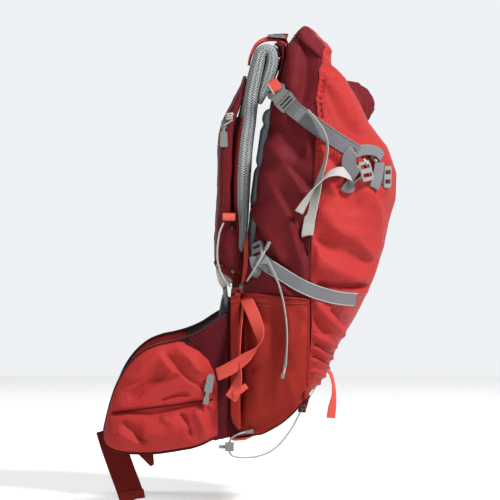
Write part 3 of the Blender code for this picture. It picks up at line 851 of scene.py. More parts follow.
# ---------------------------------------------------------------- studio
@dataclass
class Studio:
    """Plain pale floor, soft lights and the camera, none of them part of the pack."""

    middle: tuple = (-0.051, -0.055, -0.323)
    distance: float = 7.0
    elevation: float = 2.0
    azimuth: float = 0.0
    field_width: float = 0.75
    floor_gap: float = 0.004
    floor_size: float = 6.0
    floor_glow: float = 0.30
    air_colour: tuple = (0.86, 0.88, 0.90, 1.0)
    air_fade: tuple = (0.10, 0.45, 1.0, 0.20)
    lamps: tuple = (("key light", (1.5, -1.3, 1.7), 190.0, 0.6),
                    ("fill light", (-2.0, -2.0, 0.6), 22.0, 1.6),
                    ("top light", (-0.2, 0.8, 2.0), 30.0, 1.5))

    def build(self) -> None:
        """Build the camera, the lights, the air and the floor."""
        self.build_camera()
        self.build_lights()
        self.build_air()
        self.build_floor()
        LOG.info("studio is ready")

    def build_camera(self) -> None:
        """Aim a long lens at the pack's side."""
        lens = bpy.data.cameras.new("camera")
        lens.sensor_width = 36.0
        lens.lens = lens.sensor_width * self.distance / self.field_width
        camera = bpy.data.objects.new("camera", lens)
        bpy.context.scene.collection.objects.link(camera)
        turn, rise = math.radians(self.azimuth), math.radians(self.elevation)
        away = Vector((math.sin(turn) * math.cos(rise), -math.cos(turn) * math.cos(rise), math.sin(rise)))
        camera.location = Vector(self.middle) + away * self.distance
        camera.rotation_euler = (-away).to_track_quat("-Z", "Y").to_euler()
        bpy.context.scene.camera = camera

    def build_lights(self) -> None:
        """Hang a wide key light in front, a fill light and a light behind."""
        for name, place, power, size in self.lamps:
            lamp = bpy.data.lights.new(name, "AREA")
            lamp.energy = power
            lamp.size = size
            light = bpy.data.objects.new(name, lamp)
            light.location = place
            aim = Vector(self.middle) - light.location
            light.rotation_euler = aim.to_track_quat("-Z", "Y").to_euler()
            bpy.context.scene.collection.objects.link(light)

    def build_air(self) -> None:
        """Fill the studio with pale light that fades with height."""
        world = bpy.data.worlds.new("studio air")
        world.use_nodes = True
        tree = world.node_tree
        spot = tree.nodes.new("ShaderNodeTexCoord")
        height = tree.nodes.new("ShaderNodeSeparateXYZ")
        fade = tree.nodes.new("ShaderNodeMapRange")
        ramp = tree.nodes.new("ShaderNodeMath")
        ramp.operation = "ABSOLUTE"
        fade.interpolation_type = "SMOOTHSTEP"
        for socket, value in zip(fade.inputs[1:5], self.air_fade):
            socket.default_value = value
        tree.links.new(spot.outputs["Generated"], height.inputs[0])
        tree.links.new(height.outputs[2], ramp.inputs[0])
        tree.links.new(ramp.outputs[0], fade.inputs[0])
        tree.links.new(fade.outputs[0], tree.nodes["Background"].inputs["Strength"])
        tree.nodes["Background"].inputs["Color"].default_value = self.air_colour
        bpy.context.scene.world = world
        bpy.context.scene.view_settings.view_transform = "Standard"

    def build_floor(self) -> None:
        """Lay a pale floor just under the pack."""
        half, height = self.floor_size / 2, CAD_BOX[0][2] - self.floor_gap
        corners = [(-half, -half, height), (half, -half, height), (half, half, height), (-half, half, height)]
        mesh = bpy.data.meshes.new("floor")
        mesh.from_pydata(corners, [], [(0, 1, 2, 3)])
        floor = bpy.data.objects.new("floor", mesh)
        bpy.context.scene.collection.objects.link(floor)
        graph = Graph("pale floor")
        tone = graph.blend(graph.noise(3.0), (0.78, 0.78, 0.77, 1.0), (0.84, 0.84, 0.83, 1.0))
        graph.feed(graph.shader.inputs["Base Color"], tone)
        graph.shader.inputs["Roughness"].default_value = 0.9
        graph.shader.inputs["Emission Color"].default_value = (1.0, 1.0, 1.0, 1.0)
        graph.shader.inputs["Emission Strength"].default_value = self.floor_glow
        floor.data.materials.append(graph.material)


# ---------------------------------------------------------------- cords
@dataclass
class FreeCord:
    """A length of braided cord that hangs free, with what it runs through."""

    name: str
    route: tuple
    radius: float = 1.5
    far_end: str = "bare"
    stiffness: str = "medium"
    lay: str = "loose"
    with_pieces: tuple = ()

    def build(self) -> bpy.types.Object:
        """Build the cord and return it.

        Returns:
            The cord.
        """
        path = smooth_line(np.array(self.route) * MM, 0.002)
        piece = round_cord(self.name + "_braid", path, self.radius * MM, CORD, "pack", (self.name,), 12)
        return piece


FREE_CORDS = (
    FreeCord("base_cord", ((24, -118, -562.8), (20, -118, -570), (10, -118, -588), (-6, -118, -609),
                           (-21, -118, -621), (-39, -118, -628), (-55, -118, -630), (-69, -118, -629.5),
                           (-77, -118, -627.5), (-81.2, -118, -623), (-81.5, -118, -618),
                           (-81.5, -118, -610), (-80, -118, -603), (-73, -118, -597),
                           (-62, -118, -593), (-50, -118, -591)),
             with_pieces=("cord_lock", "cord_lock_button")),
    FreeCord("pole_cord", ((-90, -108, -280), (-97, -108, -298), (-100, -108, -328),
                           (-97, -108, -348), (-90, -108, -364), (-80, -108, -376)),
             far_end="object", with_pieces=("pole_bead",)),
    FreeCord("toggle_cord", ((-55, -128, -366), (-48, -148, -354), (-40, -158, -340),
                             (-32, -161, -326), (-25, -160, -314)), lay="hanging"))


# ---------------------------------------------------------------- bag
@dataclass(frozen=True)
class BagForm:
    """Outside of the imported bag: back, side seam, front and half width at each height, in millimetres."""

    rows: tuple = (
        (-608, -76, -66, -56, 40), (-600, -84, -60, -42, 80), (-588, -82, -40, -16, 108),
        (-570, -78, -10, 10, 122), (-552, -72, 12, 27, 130), (-534, -70, 26, 38, 134),
        (-498, -69, 34, 58, 139), (-462, -69, 38, 74, 142), (-426, -68, 39, 97, 144),
        (-390, -66, 37, 116, 145), (-354, -55, 36, 132, 146), (-318, -47, 37, 144, 146),
        (-282, -42, 38, 150, 145), (-246, -40, 39, 160, 144), (-210, -35, 42, 162, 142),
        (-174, -29, 43, 149, 138), (-138, -24, 42, 121, 132), (-102, -18, 44, 104, 124),
        (-66, -8, 51, 90, 116), (-48, -4, 50, 70, 112), (-30, 2, 48, 69, 108), (0, 20, 40, 58, 100))
    mouth: tuple = ((-102, -102), (-78, -90), (-50, -76), (-24, -60), (0, -46))
    seam_line: tuple = ((-608, -60), (-575, 6), (-548, 25), (-520, 33), (-450, 36), (-390, 37), (-300, 38),
                        (-230, 41), (-170, 45), (-130, 50), (-90, 46), (-60, 50), (-45, 55), (0, 45))
    front_power: float = 2.3
    back_power: float = 5.0

    def profile(self, z: Array) -> list[Array]:
        """Back, seam, front and half width in metres at heights in metres."""
        table = np.array(self.rows, float) * MM
        return [np.interp(z, table[:, 0], table[:, k]) for k in range(1, 5)]

    def seam_x(self, z: Array) -> Array:
        """Where the front's brighter cloth starts, at heights in metres."""
        table = np.array(self.seam_line, float) * MM
        return np.interp(z, table[:, 0], table[:, 1])

    def point(self, z: Array, turn: Array) -> Array:
        """Points of the outside.

        Args:
            z: Heights in metres.
            turn: Turns about the upright axis, from the front.

        Returns:
            The points, in metres.
        """
        back, seam, front, half = self.profile(z)
        ahead = np.cos(turn) >= 0
        power = np.where(ahead, 2 / self.front_power, 2 / self.back_power)
        reach = np.where(ahead, front - seam, seam - back)
        x = seam + np.sign(np.cos(turn)) * np.abs(np.cos(turn)) ** power * reach
        y = np.sign(np.sin(turn)) * np.abs(np.sin(turn)) ** power * half
        return np.stack([x, y, z + 0 * x], axis=-1)

    def ring(self, back_height: float, front_height: float, turn: Array) -> Array:
        """Points round the bag in a plane that slopes from the back to the front.

        Args:
            back_height: Height at the back in metres.
            front_height: Height at the front in metres.
            turn: Turns from the front.

        Returns:
            The points, in metres.
        """
        back_x = self.profile(back_height)[0]
        front_x = self.profile(front_height)[2]
        spots = self.point((back_height + front_height) / 2 + 0 * turn, turn)
        for _attempt in range(12):
            share = (spots[:, 0] - back_x) / (front_x - back_x)
            spots = (spots + self.point(back_height + (front_height - back_height) * share, turn)) / 2
        return spots

    def turns(self, count: int, low: float = 0.0, high: float = 2 * math.pi) -> Array:
        """Turns that are evenly spaced round the bag's waist.

        Args:
            count: How many turns.
            low: Lowest turn.
            high: Highest turn.

        Returns:
            The turns, in radians.
        """
        dense = np.linspace(low, high, 200001)
        at = run_length(self.point(np.full(len(dense), -0.30), dense))
        return np.interp(np.linspace(0, at[-1], count), at, dense)

    def levels(self, low: float, step: float = 0.003, top: bool = True) -> list[tuple[float, float]]:
        """Back and front heights of rings from a height up to the mouth.

        Args:
            low: Lowest height in metres.
            step: Distance between rings.
            top: Whether the sloping rings under the mouth are wanted.

        Returns:
            One pair of heights for each ring.
        """
        straight = self.mouth[0][0] * MM
        heights = [(z, z) for z in np.linspace(low, straight, int((straight - low) / step))]
        if top:
            table = np.array(self.mouth, float) * MM
            for a, b in zip(table, table[1:]):
                heights += [tuple(a + (b - a) * k / 8) for k in range(1, 9)]
        return heights

    def flank(self, x: Array, z: Array, side: float) -> Array:
        """Points of one flank seen at x and z, in metres.

        Args:
            x: First coordinate in metres.
            z: Height in metres.
            side: -1 for the wearer's left, 1 for the right.

        Returns:
            The points, in metres.
        """
        back, seam, front, half = self.profile(z)
        ahead = x >= seam
        reach = np.where(ahead, front - seam, seam - back)
        power = np.where(ahead, self.front_power, self.back_power)
        share = np.minimum(np.abs(x - seam) / reach, 0.995)
        return np.stack([x + 0 * z, side * half * (1 - share ** power) ** (1 / power), z + 0 * x], axis=-1)

    def lifted(self, x: Array, z: Array, side: float, lift: Array) -> Array:
        """Points at a lift above one flank, in metres.

        Args:
            x: First coordinate in metres.
            z: Height in metres.
            side: -1 for the wearer's left, 1 for the right.
            lift: Distance above the outside, in metres.

        Returns:
            The points, in metres.
        """
        step = 0.0015
        along = self.flank(x + step, z, side) - self.flank(x - step, z, side)
        rise = self.flank(x, z + step, side) - self.flank(x, z - step, side)
        normal = unit(np.cross(along, rise))
        normal = normal * np.sign(normal[..., 1:2]) * side
        return self.flank(x, z, side) + normal * np.expand_dims(lift, -1)


FORM = BagForm()

SIDE_FOLDS = (
    Fold(((-22, -130), (2, -156), (27, -189)), 8, -5.5), Fold(((-3, -189), (20, -210), (40, -231)), 8, -5.5),
    Fold(((-18, -216), (3, -254), (24, -290), (32, -339)), 9, -7),
    Fold(((-44, -273), (-33, -306), (-6, -348), (12, -366)), 9, -6),
    Fold(((24, 6), (33, -45), (28, -92), (24, -114)), 8, -6),
    Fold(((8, 2), (12, -51), (10, -96)), 11, 4), Fold(((-27, -156), (2, -194), (33, -246)), 8, 5),
    Fold(((-30, -194), (-14, -231), (9, -276), (22, -339)), 8, 6),
    Fold(((-42, -246), (-27, -294), (2, -351)), 8, 5), Fold(((30, -123), (34, -156), (34, -190)), 6, 3),
    Fold(((14, -300), (26, -340), (30, -380)), 7, 4), Fold(((-30, -340), (-10, -372), (20, -392)), 7, 4))

FRONT_FOLDS = (
    Fold(((64, -74), (72, -108), (88, -138), (118, -160)), 6, -9),
    Fold(((76, -70), (88, -104), (106, -134), (124, -158)), 8, 5),
    Fold(((57, -58), (58, -96), (58, -132)), 4, -5), Fold(((62, -96), (68, -122), (80, -146)), 5, -5),
    Fold(((60, -40), (92, -81), (114, -123), (124, -160)), 12, 4),
    Fold(((64, -178), (75, -194), (88, -209)), 6, -5),
    Fold(((54, -196), (66, -219), (76, -242)), 6, 5), Fold(((72, -222), (92, -246), (110, -256)), 8, -6),
    Fold(((52, -252), (66, -280), (87, -296), (116, -296)), 9, 7),
    Fold(((42, -300), (76, -317), (102, -329), (126, -341)), 11, -8),
    Fold(((36, -334), (69, -347), (99, -358), (124, -361)), 7, 9),
    Fold(((44, -371), (84, -374), (122, -368)), 4, -9),
    Fold(((44, -306), (52, -330), (56, -352)), 6, 4), Fold(((96, -300), (112, -316), (126, -334)), 6, 4),
    Fold(((80, -384), (99, -382), (119, -378)), 6, 5),
    Fold(((38, -392), (57, -414), (72, -434), (86, -455)), 6, 6),
    Fold(((38, -410), (51, -428), (63, -446)), 5, -5), Fold(((66, -402), (78, -418), (88, -434)), 6, -5),
    Fold(((38, -447), (54, -453), (72, -466)), 3.5, 4.5),
    Fold(((38, -462), (52, -472), (67, -485)), 3.5, 4.5),
    Fold(((38, -481), (51, -489), (65, -502)), 3.5, 4.5), Fold(((38, -454), (51, -462), (68, -475)), 3, -4),
    Fold(((38, -472), (50, -481), (63, -493)), 3, -4), Fold(((36, -497), (48, -503), (58, -512)), 3.5, 4),
    Fold(((34, -512), (44, -517), (52, -524)), 3.5, 3.5),
    Fold(((138, -232), (150, -252), (152, -274)), 6, -6),
    Fold(((128, -222), (140, -240), (152, -256)), 4, 5), Fold(((116, -226), (130, -252), (136, -288)), 6, 5),
    Fold(((90, -206), (100, -236), (98, -270)), 7, -5), Fold(((120, -170), (126, -190), (132, -214)), 4, -4),
    Fold(((128, -162), (142, -182), (152, -206)), 5, 4), Fold(((100, -176), (108, -200), (110, -222)), 4, 4),
    Fold(((126, -330), (134, -300), (140, -270)), 8, 4), Fold(((112, -392), (122, -352), (132, -326)), 7, 4))


@dataclass
class Bag:
    """Main bag of burgundy cloth, with the brighter panel and its compartment over the front."""

    form: BagForm = FORM
    columns: int = 240
    front_columns: int = 150
    foot: float = -0.608
    panel_low: float = -0.545
    panel_lift: float = 0.0083
    tuck: float = 0.014
    wall: float = 0.0009

    def build(self) -> None:
        """Build the shell, the front panel, the far gusset, the seams and the base."""
        self.shell = self.build_shell()
        self.panel = self.build_panel()
        self.build_lining()
        self.build_gusset()
        self.build_seams()
        self.build_base_binding()

    def build_shell(self) -> bpy.types.Object:
        """The burgundy sides, back and base.

        Returns:
            The shell.
        """
        turn = self.form.turns(self.columns + 1)[:-1]
        grid = np.stack([self.form.ring(*pair, turn) for pair in self.form.levels(self.foot)])
        normals = grid_normals(grid, True)
        x, y, z = grid[..., 0], grid[..., 1], grid[..., 2]
        seam = self.form.seam_x(z)
        side = eased(np.abs(y), 0.03, 0.08) * (1 - eased(x, seam - 0.006, seam + 0.004))
        flat = grid.reshape(-1, 3)
        near = folded(grid, SIDE_FOLDS)
        loose = crumple(flat, 0.075, 5).reshape(x.shape) * 0.0016
        relief = (near + loose) * side * (1 - 0.8 * eased(-z, 0.385, 0.41))
        bulge = 0.004 * np.exp(-((z + 0.25) / 0.14) ** 2) * side
        sink = (self.tuck * eased(x, seam + 0.003, seam + 0.02)
                * eased(z, self.panel_low - 0.01, self.panel_low + 0.02))
        rim = 1 - eased(z, -0.02, 0.0) * 0.6
        grid = grid + normals * (((relief + bulge) * rim - sink)[..., None])
        foot = grid[0].mean(axis=0) - np.array([0, 0, 0.0015])
        closing = [foot + (grid[0] - foot) * share for share in (0.02, 0.35, 0.7)]
        shell = grid_object("bag_shell", np.concatenate([np.stack(closing), grid]), closed=True)
        return dress(add_shell(shell, self.wall), BURGUNDY, "pack", "main_bag")

    def build_panel(self) -> bpy.types.Object:
        """The bright panel over the front, with its folds and gathers.

        Returns:
            The panel.
        """
        rows = []
        for back, front in self.form.levels(self.panel_low):
            seam = self.form.seam_x((back + front) / 2 + (front - back) * 0.2)
            reach = self.form.profile((back + front) / 2)[1:3]
            share = np.clip((seam - reach[0]) / (reach[1] - reach[0]), 0.02, 0.98)
            edge = math.acos(share ** (self.form.front_power / 2))
            rows.append(self.form.ring(back, front, self.form.turns(self.front_columns, -edge, edge)))
        grid = np.stack(rows)
        normals = grid_normals(grid, False)
        x, y, z = grid[..., 0], grid[..., 1], grid[..., 2]
        from_edge = np.minimum(run_cumulative(grid), run_cumulative(grid[:, ::-1])[:, ::-1])
        inner = eased(from_edge, 0.0, 0.045)
        lift = (0.0016 + (self.panel_lift - 0.0016) * inner * eased(z, -0.545, -0.50)
                * (1 - eased(z, -0.11, -0.06)))
        folds = folded(grid, FRONT_FOLDS) * eased(from_edge, 0.0, 0.010) * eased(np.abs(y), 0.025, 0.105)
        flat = grid.reshape(-1, 3)
        loose = crumple(flat * np.array([1, 1, 0.7]), 0.055, 11).reshape(x.shape) * 0.0013 * inner
        ruffle = np.exp(-(from_edge / 0.009) ** 2) * np.sin(z * 2 * math.pi / 0.0085 + np.sin(z * 90))
        upper = eased(z, -0.20, -0.17) * (1 - eased(z, -0.07, -0.05))
        lower = 1 - eased(z, -0.46, -0.42)
        gathers = ruffle * 0.0022 * (upper + 0.7 * lower + 0.15) * eased(from_edge, 0.0, 0.003)
        depth = np.maximum(lift + folds + loose + gathers, -self.tuck + 0.004)
        depth = np.where(from_edge < 0.004, np.maximum(depth, 0.001), depth)
        grid = grid + normals * depth[..., None]
        self.panel_grid = grid
        panel = grid_object("front_panel", grid)
        return dress(add_shell(panel, self.wall), BRIGHT_RED, "pack", "front_pocket")

    def build_lining(self) -> None:
        """Dark rim round the mouth, where the drawn collar is folded inwards."""
        turn = self.form.turns(120)[:-1]
        rim = self.form.ring(0.0, self.form.mouth[-1][1] * MM, turn)
        middle = rim.mean(axis=0)
        rows = [middle + (rim - middle) * share - np.array([0, 0, depth])

                for share, depth in ((0.985, 0.0), (0.95, 0.004), (0.90, 0.016), (0.88, 0.04), (0.4, 0.05),
                          (0.02, 0.052))]
        grid = np.stack(rows)
        gather = np.sin(np.arange(len(turn)) * 2 * math.pi * 17 / len(turn)) * 0.003
        grid[2:4] += (unit(rim - middle) * gather[:, None])[None]
        lining = grid_object("mouth_lining", smooth_rows(grid, 24), closed=True)
        dress(add_shell(lining, self.wall), BURGUNDY, "pack")

    def build_gusset(self) -> None:
        """Stuffed gusset of darker cloth on the far shoulder of the front."""
        turn = np.linspace(0, 2 * math.pi, 97)[:-1]
        rise = np.linspace(-math.pi / 2 + 0.02, math.pi / 2 - 0.02, 56)
        t, r = np.meshgrid(turn, rise)
        ball = np.stack([np.cos(r) * np.cos(t), np.cos(r) * np.sin(t), np.sin(r)], axis=-1)
        spots = np.array([0.092, 0.050, -0.107]) + ball * np.array([0.044, 0.050, 0.037])
        relief = crumple(spots.reshape(-1, 3), 0.03, 31).reshape(t.shape) * 0.0022
        pleats = 0.0014 * np.sin(t * 14 + 3 * r) * np.cos(r)
        grid = spots + ball * (relief + pleats)[..., None]
        gusset = grid_object("far_gusset", grid, closed=True, caps=True)
        dress(gusset, BURGUNDY, "pack")

    def build_seams(self) -> None:
        """Piping and stitches down both edges of the front panel."""
        for label, side in SIDES.items():
            heights = np.linspace(-0.100, -0.540, 150)
            x = self.form.seam_x(heights)
            out = np.array([0.0, side, 0.0])
            wave = 0.0006 * np.sin(heights * 2 * math.pi / 0.013)
            seam = self.form.lifted(x - 0.002, heights, side, 0.0016 + wave)
            round_cord(f"panel_piping_{label}", seam, 0.0011, BINDING, "pack")
            sewn = self.form.lifted(x - 0.006, heights, side, np.full(len(heights), 0.0018))
            low = sewn[:, 2] < -0.39
            stitches(f"panel_stitches_{label}", sewn[low], THREAD, "pack", out, 0.006, 0.0036, 0.0005)
            rim = smooth_line([(-26, -76), (-18, -60), (-7, -34), (3, -20), (8, -10), (17, 2)], 2.0) * MM
            edge = self.form.lifted(rim[:, 0] + 0.003, np.minimum(rim[:, 1], -0.001), side,
                                    np.full(len(rim), 0.002))
            round_cord(f"back_piping_{label}", edge, 0.0013, PIPING, "pack")
            round_cord(f"back_binding_{label}", edge + np.array([0.0025, 0, -0.001]), 0.0013, BINDING, "pack")
            lower = np.linspace(-0.500, -0.545, 30)
            front = self.form.profile(lower)[2] - 0.004
            trim = self.form.lifted(front, lower, side, np.full(len(lower), 0.007))
            round_cord(f"foot_piping_{label}", trim, 0.001, PIPING, "pack")

    def build_base_binding(self) -> None:
        """Bright binding along the foot of each flank."""
        for label, side in SIDES.items():
            line = smooth_line([(31, -541), (10, -566), (-20, -586), (-55, -600), (-80, -604)], 3.0) * MM
            upper = self.form.lifted(line[:, 0], line[:, 1], side, np.full(len(line), 0.0026))
            lower = self.form.lifted(line[:, 0] + 0.002, line[:, 1] - 0.007, side, np.full(len(line), 0.0022))
            share = np.linspace(0, 1, 5)[:, None, None]
            grid = upper[None] * (1 - share) + lower[None] * share
            grid = grid + np.array([0, side, 0]) * 0.0012 * np.sin(np.linspace(0, math.pi, 5))[:, None, None]
            binding = grid_object(f"base_binding_{label}", grid)
            dress(add_shell(binding, PANEL_CLOTH, 0.0), RED_WEB, "pack")
            middle = grid[2] + np.array([0, side * 0.0012, 0])
            stitches(f"base_stitches_{label}", middle, THREAD, "pack", np.array([0.0, side, 0.0]))


def run_cumulative(grid: Array) -> Array:
    """Distance along each row of a grid, from its first point."""
    steps = np.linalg.norm(np.diff(grid, axis=1), axis=-1)
    return np.concatenate([np.zeros((len(grid), 1)), np.cumsum(steps, axis=1)], axis=1)


def smooth_rows(grid: Array, count: int) -> Array:
    """A grid with its rows blended smoothly into a number of rows.

    Args:
        grid: Points in rows and columns.
        count: How many rows are wanted.

    Returns:
        The new grid.
    """
    spots = np.linspace(0, 1, count)
    flat = grid.reshape(len(grid), -1)
    line = smooth_line(flat, 1e-9 + np.linalg.norm(np.diff(flat, axis=0), axis=1).mean() / 6)
    at = np.linspace(0, 1, len(line))
    made = np.stack([np.interp(spots, at, line[:, k]) for k in range(line.shape[1])], axis=1)
    return made.reshape(count, *grid.shape[1:])


class Skin:
    """The finished outside of the bag, on which webbing and hardware rest."""

    def __init__(self, *pieces: bpy.types.Object) -> None:
        """Take the surface of some pieces.

        Args:
            *pieces: Mesh objects that make up the outside.
        """
        self.trees = []
        for piece in pieces:
            verts = [tuple(vertex.co) for vertex in piece.data.vertices]
            faces = [tuple(face.vertices) for face in piece.data.polygons]
            self.trees.append(BVHTree.FromPolygons(verts, faces))

    def depth(self, x: float, z: float, side: float) -> float:
        """Distance of the outside from the middle plane at x and z, in metres.

        Args:
            x: First coordinate in metres.
            z: Height in metres.
            side: -1 for the wearer's left, 1 for the right.

        Returns:
            The distance, or 0 where there is no cloth.
        """
        start, way = Vector((x, side * BEYOND_FLANK, z)), Vector((0, -side, 0))
        hits = [tree.ray_cast(start, way)[0] for tree in self.trees]
        found = [side * hit.y for hit in hits if hit is not None]
        return max(found) if found else 0.0

    def rest(self, route: Points, side: float, lift: float, width: float = 0.0) -> Array:
        """Lay a route on the outside.

        Args:
            route: X and Z of its points in millimetres.
            side: Which flank.
            lift: Height above the outside in millimetres.
            width: How wide a strip must clear the outside, in millimetres.

        Returns:
            The points in millimetres.
        """
        line = smooth_line(route, 4.0) * MM
        reach = width * MM / 2
        y = np.array([max(self.depth(x, z + dz, side) for dz in (-reach, -reach / 2, 0.0, reach / 2, reach))
                      for x, z in line])
        y = np.array([y[max(0, i - 2):i + 3].max() for i in range(len(y))])
        y = np.convolve(np.pad(y, 4, mode="edge"), np.ones(9) / 9, mode="valid")
        return np.stack([line[:, 0] / MM, side * (y / MM + lift), line[:, 1] / MM], axis=1)


@dataclass
class Lid:
    """Lid over the mouth: bright cloth on the crown, burgundy on its cheeks."""

    form: BagForm = FORM
    lean: tuple = (0.3, 0.0, 0.95)
    lifts: tuple = (-0.004, 0.0028, 0.008, 0.0135, 0.018, 0.0215, 0.0235, 0.0242)
    scales: tuple = (1.03, 1.022, 0.97, 0.90, 0.80, 0.62, 0.35, 0.03)
    rows: int = 40
    cheek_rows: int = 22
    folds: tuple = (Fold(((44, 2), (54, -14), (60, -40)), 4, -3),
                    Fold(((54, -16), (62, -22), (70, -30)), 4, 2.5),
                    Fold(((52, -34), (60, -34), (70, -44)), 3, -3),
                    Fold(((50, -44), (60, -44), (68, -50)), 3, 2))

    def build(self) -> None:
        """Build the lid, its binding and the cloth that hinges it."""
        turn = self.form.turns(180)[:-1]
        mouth = self.form.ring(0.0, self.form.mouth[-1][1] * MM, turn)
        middle = mouth.mean(axis=0)
        lean = np.array(self.lean)
        behind = eased(np.abs(turn - math.pi), 0.5, 0.9)
        rows = []
        for lift, scale in zip(self.lifts, self.scales):
            drop = np.where(lift < 0, behind, 1.0)[:, None] * lift
            rows.append(middle + (mouth - middle) * scale + lean * drop)
        grid = smooth_rows(np.stack(rows), self.rows)
        normals = grid_normals(grid, True)
        relief = (folded(grid, self.folds) + crumple(grid.reshape(-1, 3), 0.04, 41).reshape(grid.shape[:2])
                  * 0.0012)
        fade = eased(np.arange(self.rows), 3, 10)[:, None]
        grid = grid + normals * (relief * fade)[..., None]
        lid = grid_object("lid_cloth", grid, closed=True, caps=False)
        dress(add_shell(lid, PANEL_CLOTH), BRIGHT_RED, "lid", "lid")
        self.colour_cheeks(lid, mouth)
        front = np.abs(np.append(turn, turn[0]) - math.pi) > 0.62
        order = np.roll(np.arange(len(turn)), len(turn) // 2)
        hem = grid[1][order][front[:-1][order]]
        round_cord("lid_hem", hem, 0.0009, BURGUNDY, "lid")
        self.build_hinge_cloth()

    def colour_cheeks(self, lid: bpy.types.Object, mouth: Array) -> None:
        """Give the lid's sides the burgundy cloth, up to a seam that follows the rim.

        Args:
            lid: The lid's cloth.
            mouth: Points round the rim, in metres.
        """
        lid.data.materials.append(BURGUNDY.material())
        for index, face in enumerate(lid.data.polygons):
            row, column = divmod(index, len(mouth))
            x, y, _ = mouth[column % len(mouth)]
            face.material_index = int(row < self.cheek_rows and abs(y) > 0.05 and x < 0.056)

    def build_hinge_cloth(self) -> None:
        """Cloth from the top of the back to the lid."""
        across = np.linspace(-0.080, 0.080, 60)
        line = smooth_line([(12.0, -16.0), (16.0, -5.0), (18.5, 1.0), (23.0, 6.5), (29.0, 10.0)], 1.2) * MM
        grid = np.stack([np.stack([np.full(60, x) + 0.0006 * np.sin(across * 300), across, np.full(60, z)],
                                  axis=1)
                         for x, z in line])
        cloth = settle(add_shell(grid_object("lid_hinge_cloth", grid), 0.001, 0.0))
        hang_between(cloth, BRIGHT_RED, ("pack", "lid"))


